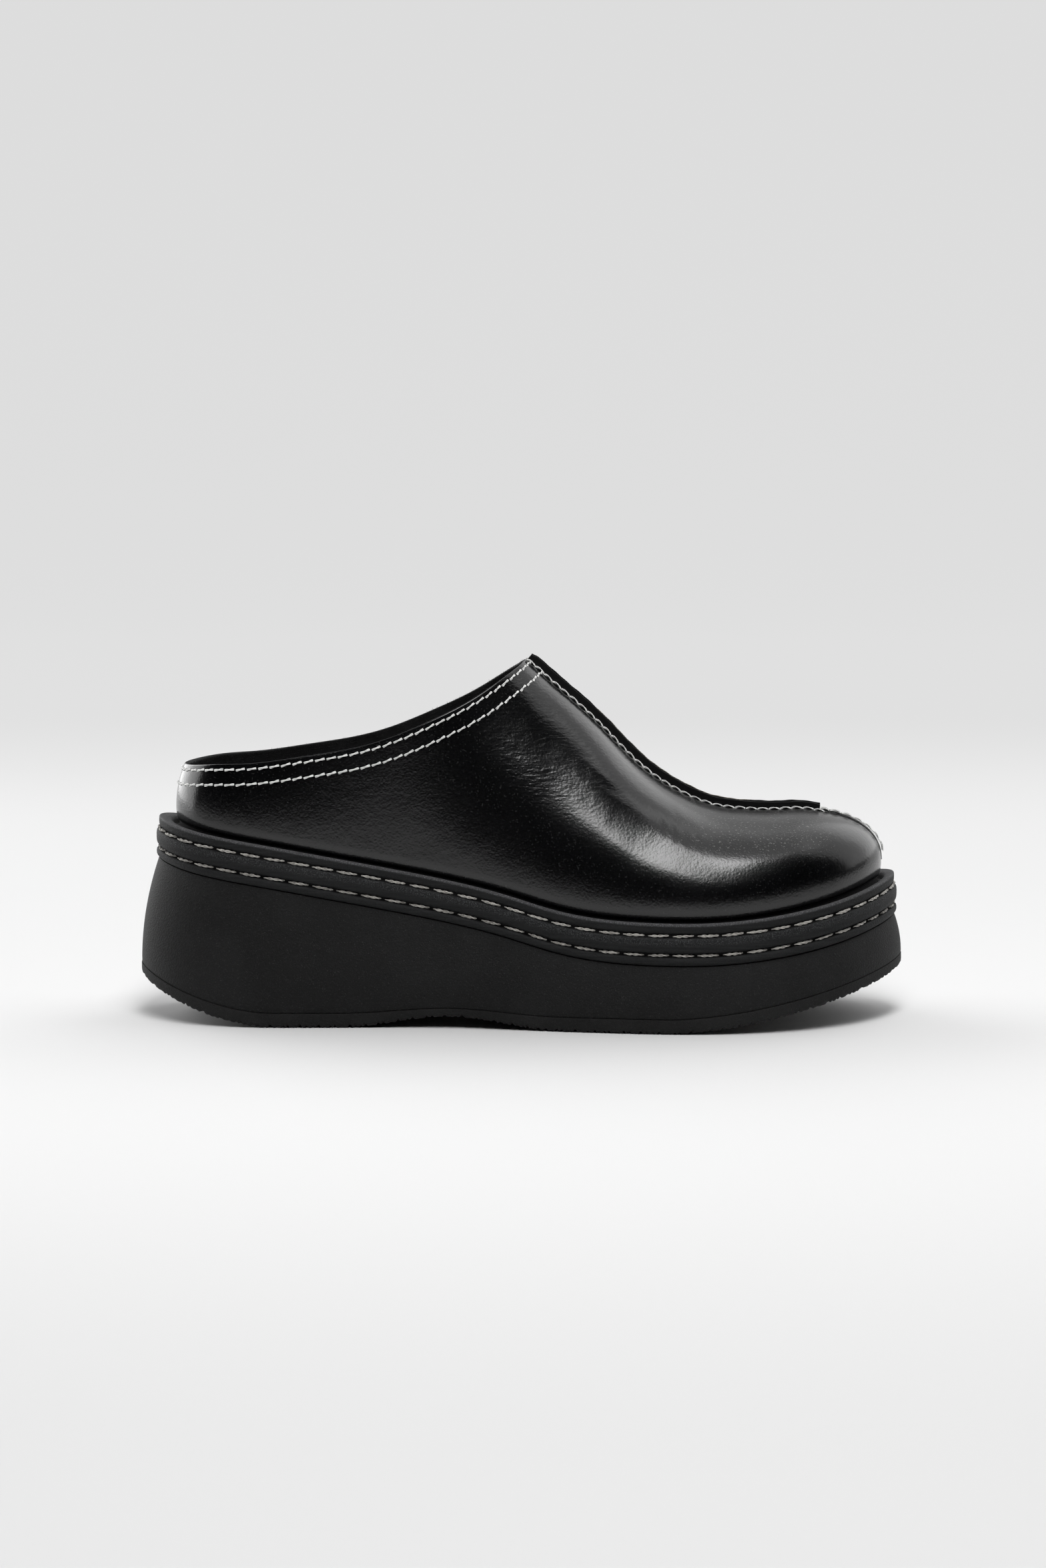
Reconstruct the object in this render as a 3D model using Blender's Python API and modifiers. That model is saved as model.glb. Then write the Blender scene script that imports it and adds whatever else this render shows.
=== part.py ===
"""Platform mule, right foot: a leather clog upper with a raised centre seam on a stitched platform wedge.

Metres. X runs from heel to toe, Y to the inner (medial) side, Z up. The origin is on the floor, under the
middle of the sole's box. Tables hold shares of the named sizes, one row for each section.
"""

import math

import bmesh
import bpy
import numpy as np

# Plan of the sole
SOLE_LENGTH = 0.272
SOLE_WIDTH = 0.103

# Heights of the sole, all from the floor
HEEL_HEIGHT = 0.0712
FOREPART_HEIGHT = 0.0382
HEEL_SPRING = 0.0150
TOE_SPRING = 0.0180
ARCH_RISE = 0.0040
TREAD_THICKNESS = 0.0051
PARTING_SHARE = {"heel": 0.93, "arch": 0.50, "toe": 0.93}
TREAD_BEVEL = 0.0012

# How far the welt's edge stands inside the sole's foot: at the heel, at the sides and at the toe
WALL_DRAFT = {"heel": 0.0057, "side": 0.0026, "toe": 0.0018}

# Welt: three rounded beads with two stitched grooves between them, under a ledge
WELT_HEIGHT = 0.0150
LEDGE_WIDTH = {"heel": 0.0070, "side": 0.0048, "toe": 0.0055}
LEDGE_DROP = 0.0010
GROOVE_WIDTH = 0.0014
GROOVE_DEPTH = 0.0013
TOP_BEAD_SETBACK = 0.0010
TOP_BEAD_SHARE = 0.255
LOWER_BEAD_SHARE = 0.235
BEAD_SEGMENTS = 4
WALL_OVERHANG = 0.0009

# Upper
LEATHER = 0.0018
TUCK = 0.0013
BULGE_HEIGHT = 0.0048
INSTEP_HEIGHT = 0.0820
SEAT_DEPTH = 0.0060
FIN_HEIGHT = 0.0024
FIN_ROOT = 0.0010
FIN_WIDTH = 0.0034
LOW_SEAM_HEIGHT = 0.0008
LOW_SEAM_END_HEIGHT = 0.0003
LOW_SEAM_WIDTH = 0.0030

# Insole
INSOLE_THICKNESS = 0.0055

# Gap between pieces that touch
CLEARANCE = 0.0003

# Plan outline of the sole's foot, from the heel's back round the outer side, the toe and the inner side.
# along: share of the length from the heel. across: share of the width, plus to the inner side.
SOLE_OUTLINE = [
    (0.000, 0.000),
    (0.022, -0.180),
    (0.074, -0.300),
    (0.150, -0.350),
    (0.270, -0.354),
    (0.404, -0.371),
    (0.515, -0.420),
    (0.625, -0.477),
    (0.735, -0.503),
    (0.846, -0.455),
    (0.930, -0.326),
    (0.980, -0.158),
    (1.000, 0.040),
    (0.985, 0.194),
    (0.935, 0.367),
    (0.864, 0.464),
    (0.772, 0.491),
    (0.680, 0.454),
    (0.580, 0.380),
    (0.460, 0.318),
    (0.340, 0.314),
    (0.220, 0.342),
    (0.130, 0.342),
    (0.060, 0.277),
    (0.018, 0.163),
]

# Height of the welt's ledge between the forepart's and the heel's.
# along: share of the length. rise: 0 at the forepart's height, 1 at the heel's.
LEDGE_LINE = [
    (0.000, 1.080),
    (0.040, 0.975),
    (0.100, 0.870),
    (0.180, 0.757),
    (0.260, 0.636),
    (0.340, 0.515),
    (0.420, 0.385),
    (0.480, 0.264),
    (0.540, 0.122),
    (0.600, 0.036),
    (0.670, 0.003),
    (0.730, 0.003),
    (0.800, 0.045),
    (0.870, 0.130),
    (0.930, 0.240),
    (1.000, 0.410),
]

# Where the sole leaves the floor, as shares of the length, and how sharply it curls up
HEEL_CONTACT_SHARE = 0.176
HEEL_CURL = 1.70
TOE_CONTACT_SHARE = 0.690
TOE_CURL = 1.55
ARCH_CENTRE_SHARE = 0.408
ARCH_REACH_SHARE = 0.140

# The wall's slope grows towards the welt
WALL_CURVE = 1.90

# Collar line over the ledge. along: share of the length. rise: share of the instep's height.
COLLAR_LINE = [
    (0.044, 0.224),
    (0.096, 0.277),
    (0.147, 0.314),
    (0.217, 0.388),
    (0.287, 0.470),
    (0.324, 0.527),
    (0.360, 0.596),
    (0.390, 0.659),
    (0.438, 0.774),
    (0.483, 0.918),
    (0.507, 1.000),
]

# Seam line over the ledge, from the instep's peak to the middle of the toe. Same columns.
SEAM_LINE = [
    (0.507, 1.000),
    (0.537, 0.948),
    (0.572, 0.876),
    (0.607, 0.782),
    (0.642, 0.668),
    (0.678, 0.573),
    (0.713, 0.506),
    (0.748, 0.455),
    (0.783, 0.429),
    (0.818, 0.410),
    (0.857, 0.395),
]

# Cross sections. along: share of the length. roundness: exponent of the section's superellipse.
# collar: width at the collar as a share of the section's, before the opening narrows to the peak.
SECTIONS = [
    (0.044, 2.00, 0.905),
    (0.160, 2.00, 0.920),
    (0.243, 2.00, 0.945),
    (0.316, 2.00, 0.968),
    (0.400, 1.95, 0.968),
    (0.507, 1.80, 0.968),
    (0.620, 1.85, 0.968),
    (0.720, 2.05, 0.968),
    (0.857, 2.25, 0.968),
    (0.975, 2.34, 0.968),
]
OPENING_START_SHARE = 0.340
OPENING_POWER = 0.60

# Centres about which the ribs of heel and toe turn, and the share of the length where the raised seam stops
HEEL_CENTRE_SHARE = 0.162
TOE_CENTRE_SHARE = 0.857
PEAK_SHARE = COLLAR_LINE[-1][0]
FIN_END_SHARE = 0.892
TOE_SEAM_DRIFT = 0.0030

# Fineness of the faceted solids. The stations are shared by all pieces, so that their facets run parallel.
WALL_STEPS = 4
HEEL_STATIONS = 6
QUARTER_STATIONS = 7
OPENING_STATIONS = 6
VAMP_STATIONS = 13
TOE_STATIONS = 7
RIB_STEPS = 10
OUTLINE_SAMPLES = 2400


# Curves


def spline(rows, column, at):
    """Natural cubic curve through a table's column, read at the given shares of its first column."""
    knots = np.array([row[0] for row in rows], float)
    values = np.array([row[column] for row in rows], float)
    gaps = np.diff(knots)
    slopes = np.diff(values) / gaps
    count = len(knots)
    matrix = np.eye(count)
    right = np.zeros(count)
    for i in range(1, count - 1):
        matrix[i, i - 1 : i + 2] = gaps[i - 1], 2 * (gaps[i - 1] + gaps[i]), gaps[i]
        right[i] = 6 * (slopes[i] - slopes[i - 1])
    bend = np.linalg.solve(matrix, right)
    at = np.clip(np.asarray(at, float), knots[0], knots[-1])
    i = np.clip(np.searchsorted(knots, at, side="right") - 1, 0, count - 2)
    a = (knots[i + 1] - at) / gaps[i]
    b = 1 - a
    return (
        a * values[i]
        + b * values[i + 1]
        + ((a**3 - a) * bend[i] + (b**3 - b) * bend[i + 1]) * gaps[i] ** 2 / 6
    )


def sole_outline():
    """Dense closed plan outline of the sole and its outward normals, centred on the origin."""
    points = np.array(SOLE_OUTLINE)
    wrap = 4
    looped = np.concatenate([points[-wrap:], points, points[: wrap + 1]])
    steps = np.linalg.norm(np.diff(looped * [SOLE_LENGTH, SOLE_WIDTH], axis=0), axis=1)
    chord = np.concatenate([[0], np.cumsum(steps)])
    rows = list(zip(chord, looped[:, 0], looped[:, 1]))
    at = np.linspace(chord[wrap], chord[wrap + len(points)], OUTLINE_SAMPLES, endpoint=False)
    plan = np.stack([spline(rows, 1, at), spline(rows, 2, at)], axis=1)
    low, high = plan.min(0), plan.max(0)
    plan = ((plan - low) / (high - low) - 0.5) * [SOLE_LENGTH, SOLE_WIDTH]
    along = np.roll(plan, -1, axis=0) - np.roll(plan, 1, axis=0)
    along /= np.linalg.norm(along, axis=1)[:, None]
    return plan, np.stack([along[:, 1], -along[:, 0]], axis=1) * winding(plan)


def winding(plan):
    """+1 for an outline that runs anticlockwise seen from above, -1 for the other way."""
    x, y = plan[:, 0], plan[:, 1]
    return np.sign((x * np.roll(y, -1) - y * np.roll(x, -1)).sum())


PLAN, PLAN_NORMALS = sole_outline()


def share_of(x):
    """Share of the sole's length at x."""
    return np.asarray(x) / SOLE_LENGTH + 0.5


def x_at(share):
    return (share - 0.5) * SOLE_LENGTH


def ledge_height(x):
    rise = spline(LEDGE_LINE, 1, share_of(x))
    return FOREPART_HEIGHT + (HEEL_HEIGHT - FOREPART_HEIGHT) * rise


def sole_rise(x, part):
    """Height over the flat spots: curled up at heel and toe, arched at the waist, by a share of each."""
    share = share_of(x)
    heel = np.clip((HEEL_CONTACT_SHARE - share) / HEEL_CONTACT_SHARE, 0, 1) ** HEEL_CURL
    toe = np.clip((share - TOE_CONTACT_SHARE) / (1 - TOE_CONTACT_SHARE), 0, 1) ** TOE_CURL
    arch = np.cos(np.clip((share - ARCH_CENTRE_SHARE) / ARCH_REACH_SHARE, -1, 1) * math.pi / 2) ** 2
    return (
        part["heel"] * HEEL_SPRING * heel
        + part["toe"] * TOE_SPRING * toe
        + part["arch"] * ARCH_RISE * arch
    )


def floor_height(x):
    """Underside of the tread."""
    return sole_rise(x, {"heel": 1, "arch": 1, "toe": 1})


def tread_top(x):
    """The parting line between tread and midsole, which is straighter than the underside."""
    return TREAD_THICKNESS + sole_rise(x, PARTING_SHARE)


def welt_foot(x):
    return ledge_height(x) - WELT_HEIGHT


def inset_sum(*parts):
    """Adds insets: plain numbers, or sizes with a value for heel, side and toe."""
    total = {"heel": 0.0, "side": 0.0, "toe": 0.0}
    for part in parts:
        for end in total:
            total[end] += part[end] if isinstance(part, dict) else part
    return total


def scaled(inset, factor):
    return {end: value * factor for end, value in inset.items()}


def inset_plan(inset):
    """The sole's outline moved inwards, by an inset that goes smoothly from heel to side to toe."""
    heelward = np.clip(-PLAN_NORMALS[:, 0], 0, 1) ** 2
    toeward = np.clip(PLAN_NORMALS[:, 0], 0, 1) ** 2
    distance = inset["side"] + (inset["heel"] - inset["side"]) * heelward
    distance = distance + (inset["toe"] - inset["side"]) * toeward
    return PLAN - PLAN_NORMALS * distance[:, None]


def axis_y(x):
    """The centre seam's sideways place: on the axis at the peak, a little inwards at the toe."""
    return TOE_SEAM_DRIFT * np.clip((share_of(x) - PEAK_SHARE) / (TOE_CENTRE_SHARE - PEAK_SHARE), 0, 1)


FOOT_PLAN = inset_plan(inset_sum(WALL_DRAFT, LEDGE_WIDTH))


def nearest_sample(centre, ray):
    """Index of the outline's sample that a ray from a centre meets, along the foot of the upper."""
    offset = FOOT_PLAN - centre
    across = offset @ np.array([-ray[1], ray[0]])
    return int(np.abs(np.where(offset @ ray > 0, across, np.inf)).argmin())


def stations():
    """Pairs of outline samples on the outer and inner side, with the point on the axis between them.

    The pairs face each other across the shoe, and fan about one centre at the heel and one at the toe.
    """
    heel, toe = x_at(HEEL_CENTRE_SHARE), x_at(TOE_CENTRE_SHARE)
    start, peak = x_at(OPENING_START_SHARE), x_at(PEAK_SHARE)
    opening_turn = np.linspace(0, math.pi / 2, OPENING_STATIONS, endpoint=False)
    middle = np.concatenate(
        [
            np.linspace(heel, start, QUARTER_STATIONS, endpoint=False),
            start + (peak - start) * np.sin(opening_turn),
            np.linspace(peak, toe, VAMP_STATIONS, endpoint=False),
        ]
    )
    spokes = [(heel, -math.cos(turn), math.sin(turn)) for turn in fan(HEEL_STATIONS)]
    spokes += [(x, 0.0, 1.0) for x in middle]
    spokes += [(toe, math.cos(turn), math.sin(turn)) for turn in fan(TOE_STATIONS)[::-1]]
    spokes.insert(len(spokes) - TOE_STATIONS, (toe, 0.0, 1.0))
    found = []
    for x, ahead, sideways in spokes:
        centre = np.array([x, axis_y(x)])
        outer = nearest_sample(centre, np.array([ahead, -sideways]))
        inner = nearest_sample(centre, np.array([ahead, sideways]))
        found.append((outer, inner, centre))
    return found


def fan(count):
    """Turns from the shoe's axis towards the side, without the last one square to the axis."""
    return np.linspace(0, math.pi / 2, count, endpoint=False)


STATIONS = stations()
RING_ORDER = [outer for outer, _, _ in STATIONS] + [inner for _, inner, _ in STATIONS[1:-1]][::-1]


# Sole pieces: rings of paired stations, so that each face runs straight across the shoe


def ring(inset, height):
    """One closed line round the shoe, through the shared stations."""
    plan = inset_plan(inset)[RING_ORDER]
    return np.column_stack([plan, height(plan[:, 0])])


def ring_mesh(name, rings, closed_tube=False):
    """Skins rings from first to last. A tube joins the last to the first, and a block gets two lids."""
    mesh = bpy.data.meshes.new(name)
    bm = bmesh.new()
    rows = [[bm.verts.new(point) for point in points] for points in rings]
    count = len(rows[0])
    pairs = list(zip(rows, rows[1:] + rows[:1])) if closed_tube else list(zip(rows, rows[1:]))
    for low, high in pairs:
        for i in range(count):
            j = (i + 1) % count
            bm.faces.new((low[i], low[j], high[j], high[i]))
    if not closed_tube:
        for row in (rows[0], rows[-1]):
            lid(bm, row)
    bmesh.ops.recalc_face_normals(bm, faces=bm.faces)
    bm.to_mesh(mesh)
    bm.free()
    return mesh


def lid(bm, row):
    """Closes a ring with strips that run across the shoe between paired stations."""
    count = len(row)
    half = count // 2
    bm.faces.new((row[0], row[1], row[-1]))
    for i in range(1, half - 1):
        bm.faces.new((row[i], row[i + 1], row[count - i - 1], row[count - i]))
    bm.faces.new((row[half - 1], row[half], row[half + 1]))


def outsole_mesh():
    bevel = inset_sum(TREAD_BEVEL)
    return ring_mesh(
        "outsole",
        [
            ring(bevel, floor_height),
            ring(inset_sum(), lambda x: floor_height(x) + TREAD_BEVEL),
            ring(inset_sum(), tread_top),
        ],
    )


def midsole_mesh():
    """Wedge with a drafted wall, a shelf for the welt and a raised seat for the upper and the insole."""
    top_inset = inset_sum(WALL_DRAFT, WALL_OVERHANG)
    seat_inset = inset_sum(WALL_DRAFT, LEDGE_WIDTH, TUCK)

    def wall_ring(step):
        share = step / WALL_STEPS

        def height(x):
            foot, top = tread_top(x) + CLEARANCE, welt_foot(x) - CLEARANCE
            return foot + (top - foot) * share

        return ring(scaled(top_inset, share**WALL_CURVE), height)

    rings = [wall_ring(step) for step in range(WALL_STEPS + 1)]
    rings.append(ring(seat_inset, lambda x: welt_foot(x) - CLEARANCE))
    rings.append(ring(seat_inset, lambda x: ledge_height(x) - SEAT_DEPTH - CLEARANCE))
    return ring_mesh("midsole", rings)


def bead(top, bottom, setback):
    """Points of one rounded bead, as outward offset and depth under the ledge, from top to bottom."""
    points = []
    for step in range(BEAD_SEGMENTS + 1):
        turn = math.pi * step / BEAD_SEGMENTS
        swell = math.sin(turn) ** 0.6
        depth = top + (bottom - top) * (1 - math.cos(turn)) / 2
        points.append((-setback - GROOVE_DEPTH * (1 - swell), depth))
    return points


def welt_mesh():
    face = WELT_HEIGHT - LEDGE_DROP - 2 * GROOVE_WIDTH
    top_end = LEDGE_DROP + face * TOP_BEAD_SHARE
    middle_start = top_end + GROOVE_WIDTH
    lower_start = WELT_HEIGHT - face * LOWER_BEAD_SHARE
    middle_end = lower_start - GROOVE_WIDTH
    profile = (
        [(-TOP_BEAD_SETBACK - GROOVE_DEPTH - LEDGE_DROP, 0.0)]
        + bead(LEDGE_DROP / 2, top_end, TOP_BEAD_SETBACK)
        + bead(middle_start, middle_end, 0.0)
        + bead(lower_start, WELT_HEIGHT, 0.0)
    )
    inner = inset_sum(WALL_DRAFT, LEDGE_WIDTH, TUCK, -CLEARANCE)
    rings = [ring(inner, ledge_height)]
    for offset, depth in profile:
        inset = inset_sum(WALL_DRAFT, -offset)
        rings.append(ring(inset, lambda x, depth=depth: ledge_height(x) - depth))
    rings.append(ring(inner, welt_foot))
    return ring_mesh("welt", rings, closed_tube=True)


def insole_mesh():
    edge = inset_sum(WALL_DRAFT, LEDGE_WIDTH, TUCK, LEATHER, CLEARANCE)

    def underside(x):
        return ledge_height(x) - SEAT_DEPTH

    return ring_mesh(
        "insole",
        [ring(edge, underside), ring(edge, lambda x: underside(x) + INSOLE_THICKNESS)],
    )


# Upper: ribs that rise from the widest line of the leather to the collar or to the centre seam

SEAT_PLAN = inset_plan(inset_sum(WALL_DRAFT, LEDGE_WIDTH, TUCK))


def opening(share):
    """Width of the collar's opening as a share of the section's: it closes to nothing at the peak."""
    collar = spline(SECTIONS, 2, share)
    nearness = np.clip((share - OPENING_START_SHARE) / (PEAK_SHARE - OPENING_START_SHARE), 0, 1)
    return collar * (1 - nearness**2) ** OPENING_POWER


def rib(sample, centre):
    """Points of one rib, from its edge in the sole up to the collar or the seam."""
    foot, seat = FOOT_PLAN[sample], SEAT_PLAN[sample]
    x = foot[0] if abs(foot[0] - centre[0]) > 1e-3 else centre[0]
    share = float(share_of(x))
    ledge = float(ledge_height(foot[0]))
    seat_ledge = float(ledge_height(seat[0]))
    power = 2 / float(spline(SECTIONS, 1, share))
    widest = ledge + BULGE_HEIGHT
    if share < PEAK_SHARE - 1e-6:
        top = ledge + INSTEP_HEIGHT * float(spline(COLLAR_LINE, 1, share))
        end = math.acos(float(opening(share)) ** (1 / power))
    else:
        top = float(seam_height(min(x, x_at(TOE_CENTRE_SHARE))))
        end = math.pi / 2
    rise = (top - widest) / math.sin(end) ** power
    low = foot + (seat - foot) * 0.3
    points = [(*seat, seat_ledge - SEAT_DEPTH), (*seat, seat_ledge), (*low, ledge + 0.4 * BULGE_HEIGHT)]
    for step in range(RIB_STEPS + 1):
        turn = end * step / RIB_STEPS
        width = math.cos(turn) ** power if step < RIB_STEPS or end < math.pi / 2 else 0.0
        points.append((*(centre + (foot - centre) * width), widest + rise * math.sin(turn) ** power))
    return points


def seam_height(x):
    return ledge_height(x) + INSTEP_HEIGHT * spline(SEAM_LINE, 1, share_of(x))


def upper_object():
    """The open skin of the leather, given its thickness inwards, with the raised seam joined on."""
    bm = bmesh.new()
    for side in (0, 1):
        rows = [[bm.verts.new(p) for p in rib(station[side], station[2])] for station in STATIONS]
        for first, second in zip(rows, rows[1:]):
            for k in range(len(first) - 1):
                bm.faces.new((first[k], second[k], second[k + 1], first[k + 1]))
    bmesh.ops.remove_doubles(bm, verts=bm.verts, dist=1e-5)
    bmesh.ops.dissolve_degenerate(bm, dist=1e-6, edges=bm.edges)
    bmesh.ops.recalc_face_normals(bm, faces=bm.faces)
    if sum(face.normal.dot(face.calc_center_median()) for face in bm.faces) < 0:
        bmesh.ops.reverse_faces(bm, faces=bm.faces)
    mesh = bpy.data.meshes.new("upper")
    bm.to_mesh(mesh)
    bm.free()
    upper = add_object("upper", mesh, PARTS, LEATHER_BLACK)
    shell = upper.modifiers.new("Leather", "SOLIDIFY")
    shell.thickness = LEATHER
    shell.offset = -1
    shell.use_even_offset = True
    for name, strip in (("seam_fin", fin_mesh()), ("low_seam", low_seam_mesh())):
        ridge = add_object(name, strip, CUTTERS, LEATHER_BLACK)
        ridge.hide_render = True
        ridge.display_type = "WIRE"
        join = upper.modifiers.new(name, "BOOLEAN")
        join.operation = "UNION"
        join.solver = "EXACT"
        join.object = ridge
    return upper


def toe_front():
    """Points of the centre seam on the toe's front, from the top of the toe down to its widest line."""
    return np.array(rib(STATIONS[-1][0], STATIONS[-1][2]))[: -RIB_STEPS - 2 : -1]


def front_point(x):
    front = toe_front()
    return [float(np.interp(x, front[:, 0], front[:, axis])) for axis in range(3)]


def fin_mesh():
    """The raised seam, from the instep's peak to where its edge is trimmed off on the toe."""
    toe, stop = x_at(TOE_CENTRE_SHARE), x_at(FIN_END_SHARE)
    crest = np.linspace(x_at(PEAK_SHARE), toe, 2 * VAMP_STATIONS)
    path = [(x, axis_y(x), float(seam_height(x))) for x in crest]
    path += [front_point(x) for x in np.linspace(toe, stop, 4)[1:]]
    return strip_mesh("seam_fin", path, np.full(len(path), FIN_HEIGHT), FIN_WIDTH)


def low_seam_mesh():
    """The seam beyond the trimmed edge, where it lies nearly flat over the front of the toe."""
    stop = x_at(FIN_END_SHARE)
    path = [front_point(stop)] + [point for point in toe_front() if point[0] > stop + FIN_HEIGHT]
    heights = np.linspace(LOW_SEAM_HEIGHT, LOW_SEAM_END_HEIGHT, len(path))
    return strip_mesh("low_seam", path, heights, LOW_SEAM_WIDTH)


def strip_mesh(name, path, heights, width):
    """Strip that stands on a line of the upper, square to it, rooted in the leather."""
    path = np.array(path)
    along = np.gradient(path, axis=0)
    along /= np.linalg.norm(along, axis=1)[:, None]
    up = np.stack([-along[:, 2], np.zeros(len(path)), along[:, 0]], axis=1)
    half = np.array([0, width / 2, 0])
    bm = bmesh.new()
    rows = []
    for point, normal, height in zip(path, up, heights):
        corners = ((-half, -FIN_ROOT), (half, -FIN_ROOT), (half, height), (-half, height))
        rows.append([bm.verts.new(point + shift + normal * lift) for shift, lift in corners])
    for first, second in zip(rows, rows[1:]):
        for k in range(4):
            n = (k + 1) % 4
            bm.faces.new((first[k], first[n], second[n], second[k]))
    bm.faces.new(rows[0])
    bm.faces.new(rows[-1])
    bmesh.ops.recalc_face_normals(bm, faces=bm.faces)
    mesh = bpy.data.meshes.new(name)
    bm.to_mesh(mesh)
    bm.free()
    return mesh


# Scene: materials, collections and objects


def clear_scene():
    for obj in list(bpy.data.objects):
        bpy.data.objects.remove(obj)


def new_collection(name):
    collection = bpy.data.collections.new(name)
    bpy.context.scene.collection.children.link(collection)
    return collection


def new_material(name, colour, roughness):
    material = bpy.data.materials.new(name)
    material.use_nodes = True
    shader = material.node_tree.nodes["Principled BSDF"]
    shader.inputs["Base Color"].default_value = (*colour, 1)
    shader.inputs["Roughness"].default_value = roughness
    shader.inputs["Metallic"].default_value = 0.0
    return material


def add_object(name, mesh, collection, material):
    obj = bpy.data.objects.new(name, mesh)
    mesh.materials.append(material)
    collection.objects.link(obj)
    return obj


def shade(obj):
    obj.data.shade_smooth()
    obj.data.set_sharp_from_angle(angle=math.radians(35))


clear_scene()
PARTS = new_collection("platform_mule")
CUTTERS = new_collection("cutters")
LEATHER_BLACK = new_material("polished_leather", (0.012, 0.012, 0.013), 0.28)
FOAM_CHARCOAL = new_material("moulded_foam", (0.030, 0.030, 0.031), 0.75)
RUBBER_CHARCOAL = new_material("tread_rubber", (0.026, 0.026, 0.027), 0.80)
SUEDE_BLACK = new_material("suede", (0.010, 0.010, 0.010), 0.95)

shade(add_object("outsole", outsole_mesh(), PARTS, RUBBER_CHARCOAL))
shade(add_object("midsole", midsole_mesh(), PARTS, FOAM_CHARCOAL))
shade(add_object("welt", welt_mesh(), PARTS, FOAM_CHARCOAL))
shade(add_object("insole", insole_mesh(), PARTS, SUEDE_BLACK))
shade(upper_object())
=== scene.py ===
import math

import bmesh
import bpy
import numpy as np
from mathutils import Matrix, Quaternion, Vector
from mathutils.kdtree import KDTree


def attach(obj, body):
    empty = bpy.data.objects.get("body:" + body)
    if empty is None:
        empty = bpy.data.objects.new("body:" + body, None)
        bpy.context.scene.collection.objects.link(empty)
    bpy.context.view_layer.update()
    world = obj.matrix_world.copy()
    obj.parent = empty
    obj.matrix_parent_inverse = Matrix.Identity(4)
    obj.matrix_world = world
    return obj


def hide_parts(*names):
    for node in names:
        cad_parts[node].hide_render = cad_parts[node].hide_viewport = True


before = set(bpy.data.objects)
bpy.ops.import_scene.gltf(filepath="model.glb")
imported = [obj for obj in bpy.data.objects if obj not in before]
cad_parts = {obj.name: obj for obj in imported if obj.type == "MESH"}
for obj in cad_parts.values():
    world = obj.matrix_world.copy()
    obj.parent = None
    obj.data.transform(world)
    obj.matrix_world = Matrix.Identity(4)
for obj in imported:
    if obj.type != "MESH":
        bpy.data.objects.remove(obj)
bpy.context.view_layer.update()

# Outsole: a thin rubber tread under the foam wedge, curled up at heel and toe and arched at the waist.
# It is cut from sheet with fine wavy cross ribs, and the ends of the ribs leave its lower edge ragged.

SOLE_LENGTH = 0.272
SOLE_WIDTH = 0.103
SOLE_OUTLINE = [  # shares of length and width, round from the heel's back by the outer side
    (0.000, 0.000), (0.022, -0.180), (0.074, -0.300), (0.150, -0.350), (0.270, -0.354),
    (0.404, -0.371), (0.515, -0.420), (0.625, -0.477), (0.735, -0.503), (0.846, -0.455),
    (0.930, -0.326), (0.980, -0.158), (1.000, 0.040), (0.985, 0.194), (0.935, 0.367),
    (0.864, 0.464), (0.772, 0.491), (0.680, 0.454), (0.580, 0.380), (0.460, 0.318),
    (0.340, 0.314), (0.220, 0.342), (0.130, 0.342), (0.060, 0.277), (0.018, 0.163),
]
OUTLINE_SAMPLES = 2400
TREAD_THICKNESS = 0.0051
HEEL_SPRING, HEEL_CONTACT_SHARE, HEEL_CURL = 0.0150, 0.176, 1.70
TOE_SPRING, TOE_CONTACT_SHARE, TOE_CURL = 0.0180, 0.690, 1.55
ARCH_RISE, ARCH_CENTRE_SHARE, ARCH_REACH_SHARE = 0.0040, 0.408, 0.140
PARTING_SHARE = {"heel": 0.93, "arch": 0.50, "toe": 0.93}
WALL_DRAFT = {"heel": 0.0057, "side": 0.0026, "toe": 0.0018}
LEDGE_WIDTH = {"heel": 0.0070, "side": 0.0048, "toe": 0.0055}
HEEL_CENTRE_SHARE, TOE_CENTRE_SHARE = 0.162, 0.857
OPENING_START_SHARE, PEAK_SHARE = 0.340, 0.507
TOE_SEAM_DRIFT = 0.0030
RIB_PITCH, RIB_DEPTH = 0.0021, 0.00105


def smooth_curve(rows, column, at):
    """Natural cubic curve through a column of a table, read at places of its first column."""
    knots = np.array([row[0] for row in rows], float)
    values = np.array([row[column] for row in rows], float)
    gaps = np.diff(knots)
    slopes = np.diff(values) / gaps
    count = len(knots)
    matrix, right = np.eye(count), np.zeros(count)
    for i in range(1, count - 1):
        matrix[i, i - 1 : i + 2] = gaps[i - 1], 2 * (gaps[i - 1] + gaps[i]), gaps[i]
        right[i] = 6 * (slopes[i] - slopes[i - 1])
    bend = np.linalg.solve(matrix, right)
    at = np.clip(np.asarray(at, float), knots[0], knots[-1])
    i = np.clip(np.searchsorted(knots, at, side="right") - 1, 0, count - 2)
    a = (knots[i + 1] - at) / gaps[i]
    b = 1 - a
    bow = ((a**3 - a) * bend[i] + (b**3 - b) * bend[i + 1]) * gaps[i] ** 2 / 6
    return a * values[i] + b * values[i + 1] + bow


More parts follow.
